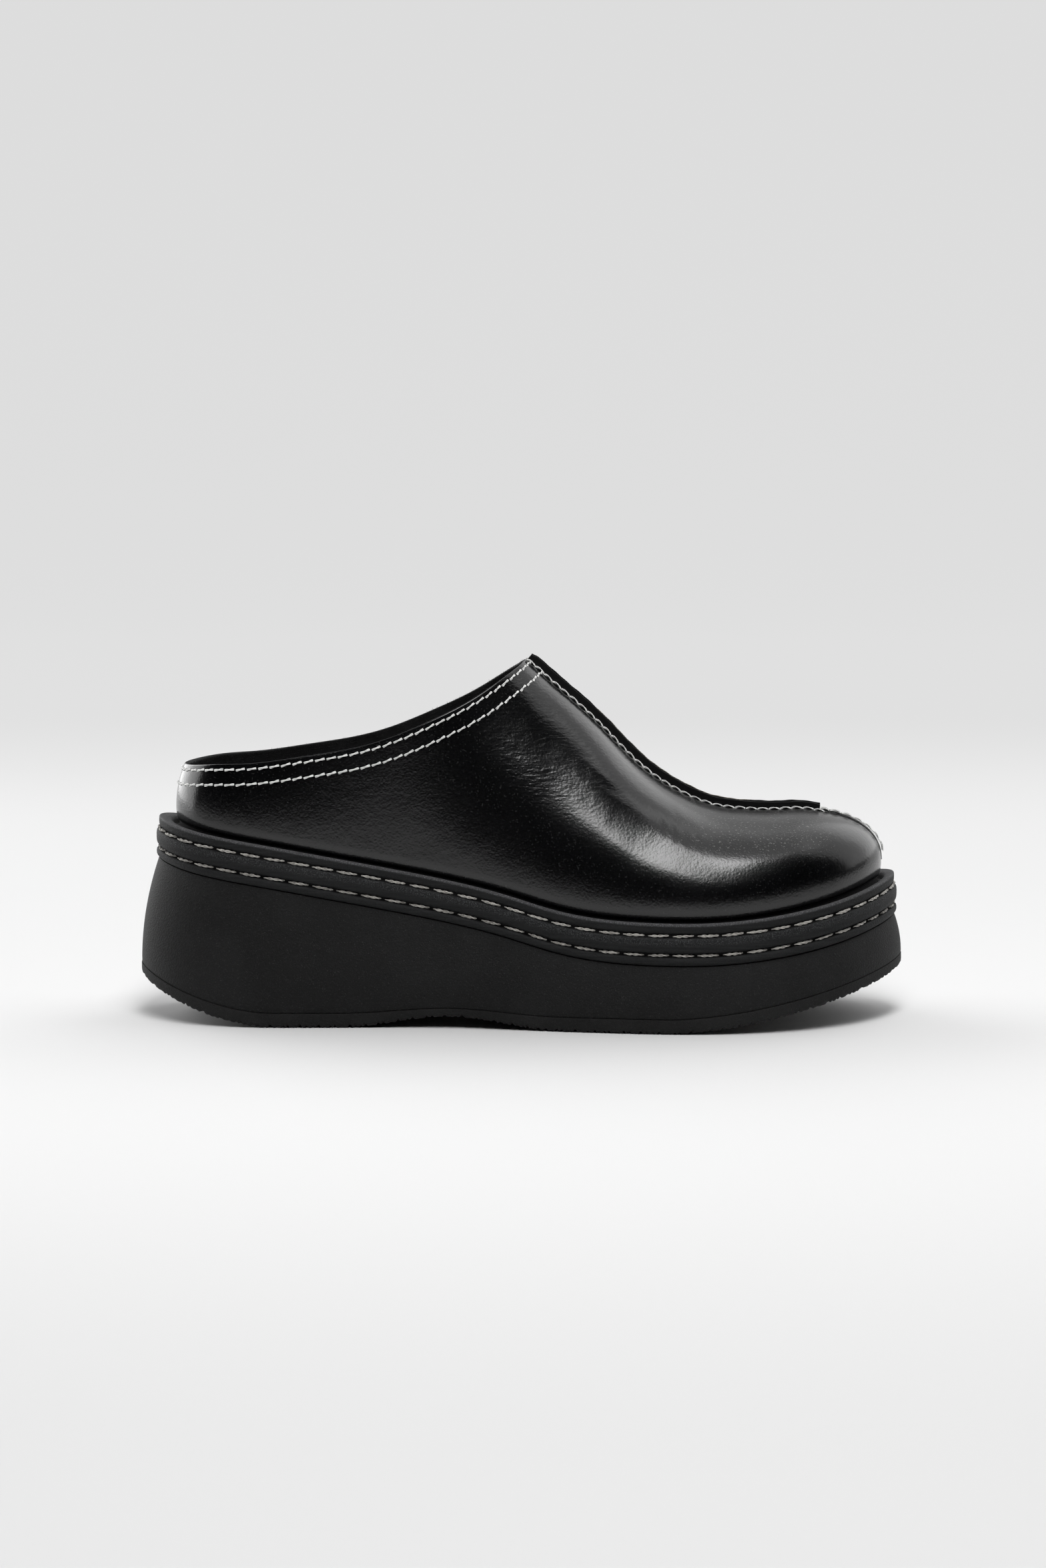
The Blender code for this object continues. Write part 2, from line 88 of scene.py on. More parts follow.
def sole_outline():
    """Closed plan outline of the sole, and its outward normals."""
    points = np.array(SOLE_OUTLINE)
    looped = np.concatenate([points[-4:], points, points[:5]])
    steps = np.linalg.norm(np.diff(looped * [SOLE_LENGTH, SOLE_WIDTH], axis=0), axis=1)
    chord = np.concatenate([[0], np.cumsum(steps)])
    rows = list(zip(chord, looped[:, 0], looped[:, 1]))
    at = np.linspace(chord[4], chord[4 + len(points)], OUTLINE_SAMPLES, endpoint=False)
    plan = np.stack([smooth_curve(rows, 1, at), smooth_curve(rows, 2, at)], axis=1)
    low, high = plan.min(0), plan.max(0)
    plan = ((plan - low) / (high - low) - 0.5) * [SOLE_LENGTH, SOLE_WIDTH]
    along = np.roll(plan, -1, axis=0) - np.roll(plan, 1, axis=0)
    along /= np.linalg.norm(along, axis=1)[:, None]
    return plan, np.stack([along[:, 1], -along[:, 0]], axis=1)


PLAN, PLAN_NORMALS = sole_outline()


def share_of(x):
    return np.asarray(x) / SOLE_LENGTH + 0.5


def x_at(share):
    return (share - 0.5) * SOLE_LENGTH


def sole_rise(x, part):
    """Height over the flat spots: the curl of heel and toe and the arch, by a share of each."""
    share = share_of(x)
    heel = np.clip((HEEL_CONTACT_SHARE - share) / HEEL_CONTACT_SHARE, 0, 1) ** HEEL_CURL
    toe = np.clip((share - TOE_CONTACT_SHARE) / (1 - TOE_CONTACT_SHARE), 0, 1) ** TOE_CURL
    arch = np.cos(np.clip((share - ARCH_CENTRE_SHARE) / ARCH_REACH_SHARE, -1, 1) * math.pi / 2) ** 2
    ends = part["heel"] * HEEL_SPRING * heel + part["toe"] * TOE_SPRING * toe
    return ends + part["arch"] * ARCH_RISE * arch


def tread_top(x):
    """The parting line between tread and foam."""
    return TREAD_THICKNESS + sole_rise(x, PARTING_SHARE)


def tread_foot(x, y, share=1.0):
    """Underside of the tread with its wavy cross ribs, worn in crumbs, by a share of their depth."""
    bend = 0.0007 * np.sin(y * 370) + 0.0004 * np.sin(y * 1030 + 1.7)
    drift = 0.00035 * np.sin(x * 459) + 0.0003 * np.sin(x * 757 + y * 190)
    turn = (x + bend + drift) / RIB_PITCH
    rib = 1 - np.abs(np.sin(math.pi * turn)) ** 1.1
    crumb = 1 - np.abs(np.sin(math.pi * (y + 0.0006 * np.sin(x * 811)) / 0.0026)) ** 0.5
    uneven = 0.62 + 0.38 * np.sin(turn * 2.399 + y * 310)
    notch = RIB_DEPTH * np.clip((rib + 0.35 * crumb) * uneven, 0, 1)
    return sole_rise(x, {"heel": 1, "arch": 1, "toe": 1}) + notch * share


def inset_sum(*parts):
    """Adds insets: plain sizes, or sizes with a value each for heel, side and toe."""
    return {
        end: sum(part[end] if isinstance(part, dict) else part for part in parts)
        for end in ("heel", "side", "toe")
    }


def scaled(inset, factor):
    return {end: value * factor for end, value in inset.items()}


def inset_plan(inset):
    """The outline moved inwards, by an inset that goes smoothly from heel to side to toe."""
    heelward = np.clip(-PLAN_NORMALS[:, 0], 0, 1) ** 2
    toeward = np.clip(PLAN_NORMALS[:, 0], 0, 1) ** 2
    distance = inset["side"] + (inset["heel"] - inset["side"]) * heelward
    distance = distance + (inset["toe"] - inset["side"]) * toeward
    return PLAN - PLAN_NORMALS * distance[:, None]


def axis_y(x):
    """Sideways place of the centre seam."""
    return TOE_SEAM_DRIFT * np.clip((share_of(x) - PEAK_SHARE) / (TOE_CENTRE_SHARE - PEAK_SHARE), 0, 1)


FOOT_PLAN = inset_plan(inset_sum(WALL_DRAFT, LEDGE_WIDTH))


def meet(centre, ray):
    """Place on the outline, counted in samples, where a ray from a centre meets the upper's foot."""
    offset = FOOT_PLAN - centre
    across = offset[:, 0] * ray[1] - offset[:, 1] * ray[0]
    after = np.roll(across, -1)
    hit = np.nonzero((offset @ ray > 0) & (across * after <= 0) & (across != after))[0][0]
    return hit + across[hit] / (across[hit] - after[hit])


def stations(heel, quarter, opening, vamp, toe):
    """Facing places on the outer and inner side, from heel to toe, and the point on the axis between."""
    heel_x, toe_x = x_at(HEEL_CENTRE_SHARE), x_at(TOE_CENTRE_SHARE)
    start_x, peak_x = x_at(OPENING_START_SHARE), x_at(PEAK_SHARE)
    closing = np.sin(np.linspace(0, math.pi / 2, opening, endpoint=False))
    middle = [np.linspace(heel_x, start_x, quarter, endpoint=False), start_x + (peak_x - start_x) * closing]
    middle += [np.linspace(peak_x, toe_x, vamp + 1)]
    heel_fan = np.linspace(0, math.pi / 2, heel, endpoint=False)
    toe_fan = np.linspace(0, math.pi / 2, toe, endpoint=False)[::-1]
    spokes = [(heel_x, -math.cos(turn), math.sin(turn)) for turn in heel_fan]
    spokes += [(x, 0.0, 1.0) for x in np.concatenate(middle)]
    spokes += [(toe_x, math.cos(turn), math.sin(turn)) for turn in toe_fan]
    centres = np.array([(x, float(axis_y(x))) for x, _, _ in spokes])
    outer = [meet(c, np.array([ahead, -side])) for c, (_, ahead, side) in zip(centres, spokes)]
    inner = [meet(c, np.array([ahead, side])) for c, (_, ahead, side) in zip(centres, spokes)]
    return np.array(outer), np.array(inner), centres


def round_places(pairs):
    """The places of paired stations in one closed round: out along the outer side, back by the inner."""
    outer, inner, _ = pairs
    return np.concatenate([outer, inner[1:-1][::-1]])


def read_at(values, places):
    """Values of the outline's samples, read between them."""
    low = np.floor(places).astype(int)
    share = (places - low).reshape(-1, *[1] * (values.ndim - 1))
    return values[low % len(values)] * (1 - share) + values[(low + 1) % len(values)] * share


def ring(places, inset, height):
    """One closed line round the shoe, at a height that depends on x and y."""
    plan = read_at(inset_plan(inset), places)
    return np.column_stack([plan, height(plan[:, 0], plan[:, 1])])


def quads(rows, columns, start=0, loop_rows=False, loop_columns=False):
    """Faces of a grid of points that is numbered row by row."""
    r = np.arange(rows if loop_rows else rows - 1)[:, None]
    c = np.arange(columns if loop_columns else columns - 1)[None, :]
    r2, c2 = (r + 1) % rows, (c + 1) % columns
    corners = np.stack([r * columns + c, r * columns + c2, r2 * columns + c2, r2 * columns + c], axis=-1)
    return corners.reshape(-1, 4) + start


def across(points, steps):
    """Grid of points that closes a ring with straight lines from its outer to its inner side."""
    half = len(points) // 2
    outer = points[: half + 1]
    inner = np.concatenate([points[:1], points[half + 1 :][::-1], points[half : half + 1]])
    share = np.linspace(0, 1, steps + 1)[None, :, None]
    return outer[:, None] * (1 - share) + inner[:, None] * share


def closed_mesh(name, grids, merge=2e-6):
    """One clean mesh of several grids of points, as (points, loops rows, loops columns)."""
    points, faces, start = [], [], 0
    for grid, loop_rows, loop_columns in grids:
        faces.append(quads(grid.shape[0], grid.shape[1], start, loop_rows, loop_columns))
        points.append(grid.reshape(-1, 3))
        start += grid.shape[0] * grid.shape[1]
    mesh = bpy.data.meshes.new(name)
    mesh.from_pydata(np.concatenate(points).tolist(), [], np.concatenate(faces).tolist())
    bm = bmesh.new()
    bm.from_mesh(mesh)
    bmesh.ops.remove_doubles(bm, verts=bm.verts, dist=merge)
    bmesh.ops.dissolve_degenerate(bm, dist=merge / 2, edges=bm.edges)
    bmesh.ops.recalc_face_normals(bm, faces=bm.faces)
    if bm.calc_volume(signed=True) < 0:
        bmesh.ops.reverse_faces(bm, faces=bm.faces)
    bm.to_mesh(mesh)
    bm.free()
    return mesh


class Reading:
    """A number or vector that varies over a surface, so that sums on it add the nodes that they need."""

    def __init__(self, tree, socket):
        self.tree, self.socket = tree, socket

    def maths(self, operation, *values, clamp=False):
        node = self.tree.nodes.new("ShaderNodeMath")
        node.operation, node.use_clamp = operation, clamp
        for socket, value in zip(node.inputs, values):
            feed(self.tree, socket, value)
        return Reading(self.tree, node.outputs[0])

    def __add__(self, other):
        return self.maths("ADD", self, other)

    def __sub__(self, other):
        return self.maths("SUBTRACT", self, other)

    def __rsub__(self, other):
        return self.maths("SUBTRACT", other, self)

    def __mul__(self, other):
        return self.maths("MULTIPLY", self, other)

    def __truediv__(self, other):
        return self.maths("DIVIDE", self, other)

    def __pow__(self, other):
        return self.maths("POWER", self, other)

    __radd__, __rmul__ = __add__, __mul__

    def sine(self):
        return self.maths("SINE", self)

    def between(self, low, high):
        """0 below low, 1 above high, and a smooth step between them."""
        node = self.tree.nodes.new("ShaderNodeMapRange")
        node.interpolation_type = "SMOOTHSTEP"
        for place, value in enumerate((self, low, high, 0.0, 1.0)):
            feed(self.tree, node.inputs[place], value)
        return Reading(self.tree, node.outputs[0])


def feed(tree, socket, value):
    """Links a reading to a socket, or sets a plain value on it."""
    if isinstance(value, Reading):
        tree.links.new(value.socket, socket)
    else:
        socket.default_value = value


class Bench:
    """A node tree at work, and the one way in which its nodes are made."""

    def __init__(self, tree):
        self.tree = tree

    def node(self, kind, settings=None, inputs=None, output=0):
        made = self.tree.nodes.new(kind)
        for name, value in (settings or {}).items():
            setattr(made, name, value)
        for name, value in (inputs or {}).items():
            feed(self.tree, made.inputs[name], value)
        return Reading(self.tree, made.outputs[output])

    def blend(self, share, first, second):
        """A colour between two others."""
        settings = {"data_type": "RGBA", "clamp_factor": True}
        return self.node("ShaderNodeMix", settings, {0: share, 6: first, 7: second}, 2)

    def noise(self, place, scale, detail=2.0, roughness=0.5):
        inputs = {"Vector": place, "Scale": scale, "Detail": detail, "Roughness": roughness}
        return self.node("ShaderNodeTexNoise", {"normalize": True}, inputs)

    def bump(self, height, distance):
        return self.node("ShaderNodeBump", {}, {"Height": height, "Distance": distance, "Strength": 1.0})

    def random(self, low, high, seed):
        inputs = {2: low, 3: high, "Seed": seed}
        return self.node("FunctionNodeRandomValue", {"data_type": "FLOAT"}, inputs, 1)


def new_finish(name, **constants):
    """A material, its bench and its shader, with the sockets that are the same all over already set."""
    material = bpy.data.materials.new(name)
    material.use_nodes = True
    shader = material.node_tree.nodes["Principled BSDF"]
    for socket, value in constants.items():
        shader.inputs[socket.replace("_", " ")].default_value = value
    return material, Bench(material.node_tree), shader


def grey(level):
    return (level, level, level, 1)


def sole_finish(name, dark, light, fleck, grain_depth, roughness):
    """Moulded sole compound: fine pebble grain with pale flecks, and soft clouds of lighter dust."""
    material, bench, shader = new_finish(name, Specular_IOR_Level=0.22)
    place = bench.node("ShaderNodeTexCoord", output="Object")
    pebble = bench.node("ShaderNodeTexVoronoi", {"feature": "F1"}, {"Vector": place, "Scale": 1500.0})
    fine = bench.noise(place, 2300.0, 2.0, 0.7)
    cloud = bench.noise(place, 38.0, 3.0, 0.55)
    flecks = bench.noise(place, 3000.0, 1.0).between(0.66, 0.76)
    tone = bench.blend(cloud.between(0.35, 0.68), dark, light)
    tone = bench.blend(flecks * 0.55 + fine.between(0.52, 0.8) * 0.25, tone, fleck)
    tree = bench.tree
    feed(tree, shader.inputs["Base Color"], tone)
    feed(tree, shader.inputs["Roughness"], roughness + fine * 0.14)
    feed(tree, shader.inputs["Normal"], bench.bump(pebble * 0.6 + fine, grain_depth))
    return material


def add_piece(name, mesh, slot, *finishes, replaced=(), sharp=40):
    """Puts a finished mesh in the scene, shaded, riding on the shoe's one body."""
    piece = bpy.data.objects.new(name, mesh)
    for finish in finishes:
        if finish.name not in mesh.materials:
            mesh.materials.append(finish)
    bpy.context.scene.collection.objects.link(piece)
    mesh.shade_smooth()
    if sharp:
        mesh.set_sharp_from_angle(angle=math.radians(sharp))
    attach(piece, "root")
    if replaced:
        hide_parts(*replaced)
    return piece


TREAD_PAIRS = stations(150, 130, 110, 290, 180)
TREAD_ROUND = round_places(TREAD_PAIRS)


def tread_mesh():
    rows = [
        ring(TREAD_ROUND, inset_sum(inset), lambda x, y, drop=drop: tread_top(x) - drop)
        for inset, drop in ((0.0006, 0.0), (0.00022, 0.00002), (0.00005, 0.00016), (0.0, 0.00045))
    ]
    for share in (0.2, 0.45, 0.7):

        def wall(x, y, share=share):
            return (tread_top(x) - 0.0005) * (1 - share) + (tread_foot(x, y, 0) + 0.0017) * share

        rows.append(ring(TREAD_ROUND, inset_sum(0.0), wall))
    edge = ((0.0, 0.0015, 0.1), (0.00003, 0.0011, 0.3), (0.00012, 0.00075, 0.6), (0.00035, 0.0004, 0.9))
    for inset, lift, share in (*edge, (0.0007, 0.00012, 1.0), (0.0012, 0.0, 1.0)):

        def toothed(x, y, lift=lift, share=share):
            return tread_foot(x, y, share) + lift

        rows.append(ring(TREAD_ROUND, inset_sum(inset), toothed))
    under = across(rows[-1], 30)
    under[..., 2] = tread_foot(under[..., 0], under[..., 1])
    grids = [(np.array(rows), False, True), (across(rows[0], 3), False, False), (under, False, False)]
    return closed_mesh("outsole_tread", grids)


tread_rubber = sole_finish("tread_rubber_finish", grey(0.008), grey(0.013), grey(0.050), 0.00022, 0.66)
add_piece("outsole_tread", tread_mesh(), "tread_rubber", tread_rubber, replaced=("outsole",))

# Wedge: one moulding of charcoal foam, higher at the heel, whose wall draws in towards the welt.
# Its lower edge is eased where it meets the tread, and a seat on top carries upper and insole.

HEEL_HEIGHT, FOREPART_HEIGHT = 0.0712, 0.0382
WELT_HEIGHT = 0.0150
SEAT_DEPTH = 0.0060
TUCK = 0.0013
WALL_OVERHANG = 0.0009
WALL_CURVE = 1.90
LEDGE_LINE = [  # share of length, and height between the forepart's and the heel's
    (0.000, 1.080), (0.040, 0.975), (0.100, 0.870), (0.180, 0.757), (0.260, 0.636), (0.340, 0.515),
    (0.420, 0.385), (0.480, 0.264), (0.540, 0.122), (0.600, 0.036), (0.670, 0.003), (0.730, 0.003),
    (0.800, 0.045), (0.870, 0.130), (0.930, 0.240), (1.000, 0.410),
]


def ledge_height(x):
    return FOREPART_HEIGHT + (HEEL_HEIGHT - FOREPART_HEIGHT) * smooth_curve(LEDGE_LINE, 1, share_of(x))


def welt_foot(x):
    return ledge_height(x) - WELT_HEIGHT


WEDGE_ROUND = round_places(stations(50, 36, 36, 90, 60))


def wedge_mesh():
    top_inset = inset_sum(WALL_DRAFT, WALL_OVERHANG)
    seat_inset = inset_sum(WALL_DRAFT, LEDGE_WIDTH, TUCK)
    rows = [
        ring(WEDGE_ROUND, inset_sum(inset), lambda x, y, lift=lift: tread_top(x) + lift)
        for inset, lift in ((0.0012, 0.0), (0.00055, 0.00004), (0.00028, 0.00018), (0.00016, 0.0004))
    ]
    for share in np.linspace(0, 1, 27)[1:]:
        inset = inset_sum(scaled(top_inset, share**WALL_CURVE), 0.00013 * (1 - share))

        def height(x, y, share=share):
            foot = tread_top(x) + 0.0004
            return foot + (welt_foot(x) - foot) * share

        rows.append(ring(WEDGE_ROUND, inset, height))
    rows.append(ring(WEDGE_ROUND, seat_inset, lambda x, y: welt_foot(x)))
    rows.append(ring(WEDGE_ROUND, seat_inset, lambda x, y: ledge_height(x) - SEAT_DEPTH - 0.0003))
    lids = [(across(rows[0], 3), False, False), (across(rows[-1], 3), False, False)]
    return closed_mesh("foam_wedge", [(np.array(rows), False, True), *lids])


foam_tones = (0.0045, 0.0046, 0.0047, 1), (0.0080, 0.0082, 0.0084, 1), grey(0.060)
moulded_foam = sole_finish("moulded_foam_finish", *foam_tones, 0.00026, 0.58)
add_piece("foam_wedge", wedge_mesh(), "moulded_foam", moulded_foam, replaced=("midsole",))

# Welt: a rim moulded in the same foam and glued on the wedge, with three rounded beads and two grooves.
# Its top is a flat ledge with a deep narrow channel, out of which the leather rises.

WELT_PROFILE = [  # millimetres: out from the welt's edge, and down from the ledge
    (-1.95, 0.02), (-1.55, 0.06), (-1.25, 0.22), (-1.06, 0.50), (-0.98, 0.90), (-0.96, 1.50), (-0.97, 2.30),
    (-1.02, 2.95), (-1.16, 3.34), (-1.48, 3.62), (-2.02, 3.80), (-2.15, 4.25), (-2.02, 4.72),
    (-1.15, 4.90), (-0.52, 5.12), (-0.20, 5.50), (-0.06, 6.10), (0.00, 6.90), (0.00, 8.20), (-0.05, 9.10),
    (-0.20, 9.75), (-0.52, 10.16), (-1.15, 10.38), (-1.95, 10.55), (-2.08, 11.05), (-1.95, 11.52),
    (-1.15, 11.68), (-0.50, 11.90), (-0.16, 12.25), (-0.02, 12.80), (0.00, 13.30), (-0.06, 13.80),
    (-0.26, 14.25), (-0.62, 14.55), (-1.10, 14.68), (-1.70, 14.70),
]
LEDGE_DISH = [  # share of the ledge's width from the rim to the leather, and millimetres down
    (1.00, 2.30), (0.95, 2.30), (0.90, 1.70), (0.86, 0.95), (0.80, 0.42), (0.72, 0.20), (0.58, 0.10),
]
GROOVE_DEPTHS = (4.27, 11.07)


def welt_mesh():
    inner = inset_sum(WALL_DRAFT, LEDGE_WIDTH, TUCK - 0.0003)
    rows = [ring(TREAD_ROUND, inner, lambda x, y: ledge_height(x) - 0.0023)]
    for share, drop in LEDGE_DISH:
        inset = inset_sum(WALL_DRAFT, scaled(LEDGE_WIDTH, share))
        rows.append(ring(TREAD_ROUND, inset, lambda x, y, drop=drop: ledge_height(x) - drop / 1000))
    for out, drop in WELT_PROFILE:
        inset = inset_sum(WALL_DRAFT, -out / 1000)
        rows.append(ring(TREAD_ROUND, inset, lambda x, y, drop=drop: ledge_height(x) - drop / 1000))
    rows.append(ring(TREAD_ROUND, inner, lambda x, y: welt_foot(x)))
    mesh = closed_mesh("beaded_welt", [(np.array(rows), True, True)])
    points = np.empty(len(mesh.vertices) * 3)
    mesh.vertices.foreach_get("co", points)
    points = points.reshape(-1, 3)
    depth = mesh.attributes.new("below_ledge", "FLOAT", "POINT")
    depth.data.foreach_set("value", ((ledge_height(points[:, 0]) - points[:, 2]) * 1000).astype(np.float32))
    return mesh


def welt_finish():
    """The sole's foam with fine streaks, a speckled painted highlight along its top edge and the upper half
    of the middle bead, and painted shade, nearly black, in the two grooves.
    """
    material, bench, shader = new_finish("beaded_welt_finish", Specular_IOR_Level=0.25)
    place = bench.node("ShaderNodeTexCoord", output="Object")
    depth = bench.node("ShaderNodeAttribute", {"attribute_name": "below_ledge"}, output="Fac")
    pebble = bench.node("ShaderNodeTexVoronoi", {"feature": "F1"}, {"Vector": place, "Scale": 1600.0})
    fine = bench.noise(place, 2400.0, 2.0, 0.7)
    speckle = bench.noise(place, 2600.0, 1.0).between(0.45, 0.72)
    stretched = bench.node("ShaderNodeMapping", {}, {"Vector": place, "Scale": (60.0, 60.0, 1500.0)})
    streaks = bench.noise(stretched, 1.0, 2.0)
    # Masks of painted light: a highlight on the rim's top and on the middle bead's upper half, and shade in
    # both grooves.
    rim_highlight = (1 - depth.between(0.55, 1.35)) * depth.between(-0.1, 0.0)
    shoulder_highlight = depth.between(4.9, 5.3) * (1 - depth.between(6.6, 8.4))
    groove_shade = depth.between(3.45, 3.8) * (1 - depth.between(4.75, 5.1))
    groove_shade = groove_shade + depth.between(10.2, 10.55) * (1 - depth.between(11.5, 11.85))
    tone = bench.blend(streaks.between(0.35, 0.7), (0.0055, 0.0060, 0.0065, 1), (0.0110, 0.0115, 0.0120, 1))
    # Painted highlight, speckled, on the middle bead and the rim; then painted shade in the grooves.
    tone = bench.blend(shoulder_highlight * speckle * 0.55, tone, (0.070, 0.072, 0.074, 1))
    tone = bench.blend(rim_highlight * (0.35 + 0.65 * speckle), tone, (0.120, 0.120, 0.125, 1))
    tone = bench.blend(groove_shade, tone, grey(0.004))
    feed(bench.tree, shader.inputs["Base Color"], tone)
    feed(bench.tree, shader.inputs["Roughness"], 0.58 + fine * 0.16)
    feed(bench.tree, shader.inputs["Normal"], bench.bump(pebble * 0.6 + fine, 0.00020))
    return material


add_piece("beaded_welt", welt_mesh(), "moulded_foam", welt_finish(), replaced=("welt",))

# Welt stitches: waxed two-ply thread, off-white, laid in both grooves of the welt all round the shoe.
# Each visible stitch is a twisted spindle that dives into its hole at both ends.


def new_growth(name, lengths):
    """An empty tree of geometry nodes with its named inputs, as its bench and its readings."""
    tree = bpy.data.node_groups.new(name, "GeometryNodeTree")
    kinds = {"Geometry": "Geometry", **dict.fromkeys(lengths, "Float"), "Seed": "Int", "Finish": "Material"}
    for socket, kind in kinds.items():
        tree.interface.new_socket(socket, in_out="INPUT", socket_type="NodeSocket" + kind)
    tree.interface.new_socket("Geometry", in_out="OUTPUT", socket_type="NodeSocketGeometry")
    given = tree.nodes.new("NodeGroupInput")
    return Bench(tree), {socket.name: Reading(tree, socket) for socket in given.outputs if socket.name}


def spread_out(bench, size, made, turns, scale):
    """Sets copies of a shape along the strips, square to "out", each turned and scaled in its own way."""
    curve = bench.node("GeometryNodeMeshToCurve", {}, {"Mesh": size["Geometry"]})
    spaced = {"Curve": curve, "Length": size["Pitch"]}
    points = bench.node("GeometryNodeCurveToPoints", {"mode": "LENGTH"}, spaced)
    tangent = Reading(bench.tree, points.socket.node.outputs["Tangent"])
    out = bench.node("GeometryNodeInputNamedAttribute", {"data_type": "FLOAT_VECTOR"}, {"Name": "out"})
    axes = {"Primary Axis": out, "Secondary Axis": tangent}
    facing = bench.node("FunctionNodeAxesToRotation", {"primary_axis": "Z", "secondary_axis": "X"}, axes)
    turned = bench.node("ShaderNodeCombineXYZ", {}, turns)
    turned = bench.node("FunctionNodeEulerToRotation", {}, {"Euler": turned})
    inputs = {"Rotation": facing, "Rotate By": turned}
    facing = bench.node("FunctionNodeRotateRotation", {"rotation_space": "LOCAL"}, inputs)
    scale = bench.node("ShaderNodeCombineXYZ", {}, scale)
    placed = {"Points": points, "Instance": made, "Rotation": facing, "Scale": scale}
    placed = bench.node("GeometryNodeInstanceOnPoints", {}, placed)
    placed = bench.node("GeometryNodeRealizeInstances", {}, {"Geometry": placed})
    placed = bench.node("GeometryNodeSetMaterial", {}, {"Geometry": placed, "Material": size["Finish"]})
    bench.tree.links.new(placed.socket, bench.tree.nodes.new("NodeGroupOutput").inputs[0])
    return bench.tree


def stitch_tree():
    """Geometry nodes: twisted stitches along the strips of a mesh, square to its "out" attribute."""
    lengths = ("Pitch", "Stitch Length", "Thread Width", "Rise", "Bow", "Twist", "Slant", "Waver", "Taper")
    bench, size = new_growth("stitches", lengths)
    half = size["Stitch Length"] * 0.5
    start = bench.node("ShaderNodeCombineXYZ", {}, {"X": half * -1.0})
    finish = bench.node("ShaderNodeCombineXYZ", {}, {"X": half})
    line = bench.node("GeometryNodeCurvePrimitiveLine", {}, {"Start": start, "End": finish})
    line = bench.node("GeometryNodeResampleCurve", {}, {"Curve": line, "Count": 10})
    along = bench.node("GeometryNodeSplineParameter")
    middle = along * 2.0 - 1.0
    crown = 1.0 - middle * middle
    slim = 1.0 - size["Taper"] * (middle * middle) * (middle * middle)
    plies = bench.node("GeometryNodeJoinGeometry")
    for phase in (0.0, math.pi):
        turn = along * size["Twist"] * (2 * math.pi) + phase
        ply = size["Thread Width"] * 0.24 * slim
        sideways = size["Bow"] * crown + ply * turn.maths("COSINE", turn)
        lift = size["Rise"] * crown + ply * turn.sine()
        offset = bench.node("ShaderNodeCombineXYZ", {}, {"Y": sideways, "Z": lift})
        strand = bench.node("GeometryNodeSetPosition", {}, {"Geometry": line, "Offset": offset})
        profile = bench.node("GeometryNodeCurvePrimitiveCircle", {}, {"Resolution": 5, "Radius": 1.0})
        radius = size["Thread Width"] * 0.29 * slim
        inputs = {"Curve": strand, "Profile Curve": profile, "Scale": radius, "Fill Caps": True}
        tube = bench.node("GeometryNodeCurveToMesh", {}, inputs)
        bench.tree.links.new(tube.socket, plies.socket.node.inputs[0])
    sway = bench.random(size["Waver"] * -1.0, size["Waver"], size["Seed"])
    length = bench.random(0.93, 1.05, size["Seed"] + 1.0)
    girth = bench.random(0.92, 1.08, size["Seed"] + 2.0)
    return spread_out(bench, size, plies, {"Z": size["Slant"] + sway}, {"X": length, "Y": girth, "Z": girth})


STITCHES = stitch_tree()


def strip_mesh(name, strips):
    """Edges along strips of points, as (points, outward directions, whether closed)."""
    points = np.concatenate([strip[0] for strip in strips])
    outward = np.concatenate([strip[1] for strip in strips])
    edges, start = [], 0
    for line, _, closed in strips:
        count = len(line)
        edges += [(start + i, start + (i + 1) % count) for i in range(count if closed else count - 1)]
        start += count
    mesh = bpy.data.meshes.new(name)
    mesh.from_pydata(points.tolist(), edges, [])
    out = mesh.attributes.new("out", "FLOAT_VECTOR", "POINT")
    out.data.foreach_set("vector", outward.astype(np.float32).ravel())
    return mesh


def grown(name, mesh, tree, sizes):
    """A plain mesh of what a tree of geometry nodes grows on a guide mesh."""
    guide = bpy.data.objects.new(name + "_guide", mesh)
    bpy.context.scene.collection.objects.link(guide)
    nodes = guide.modifiers.new("Growth", "NODES")
    nodes.node_group = tree
    identifiers = {item.name: item.identifier for item in tree.interface.items_tree if item.in_out == "INPUT"}
    for size, value in sizes.items():
        nodes[identifiers[size]] = value
    evaluated = guide.evaluated_get(bpy.context.evaluated_depsgraph_get())
    result = bpy.data.meshes.new_from_object(evaluated)
    result.name = name
    bpy.data.objects.remove(guide)
    return result


def add_growth(name, slot, strips, tree, sizes):
    """Adds a piece that grows along strips."""
    add_piece(name, grown(name, strip_mesh(name + "_strips", strips), tree, sizes), slot, sharp=0)


def thread_finish(name, pale, shade, fibre_scale):
    """Spun thread: pale fibres, drawn out along the shoe, with darker ones between them and a little dirt."""
    material, bench, shader = new_finish(name, Specular_IOR_Level=0.3, Sheen_Weight=0.25)
    place = bench.node("ShaderNodeTexCoord", output="Object")
    drawn = bench.node("ShaderNodeMapping", {}, {"Vector": place, "Scale": (0.18, 1.0, 1.0)})
    fibres = bench.noise(drawn, fibre_scale, 2.0, 0.6)
    dirt = bench.noise(place, 140.0, 2.0)
    tone = bench.blend(fibres.between(0.35, 0.62), shade, pale)
    tone = bench.blend(dirt.between(0.55, 0.8) * 0.3, tone, shade)
    feed(bench.tree, shader.inputs["Base Color"], tone)
    feed(bench.tree, shader.inputs["Roughness"], 0.7 + fibres * 0.2)
    feed(bench.tree, shader.inputs["Normal"], bench.bump(fibres, 0.00005))
    return material


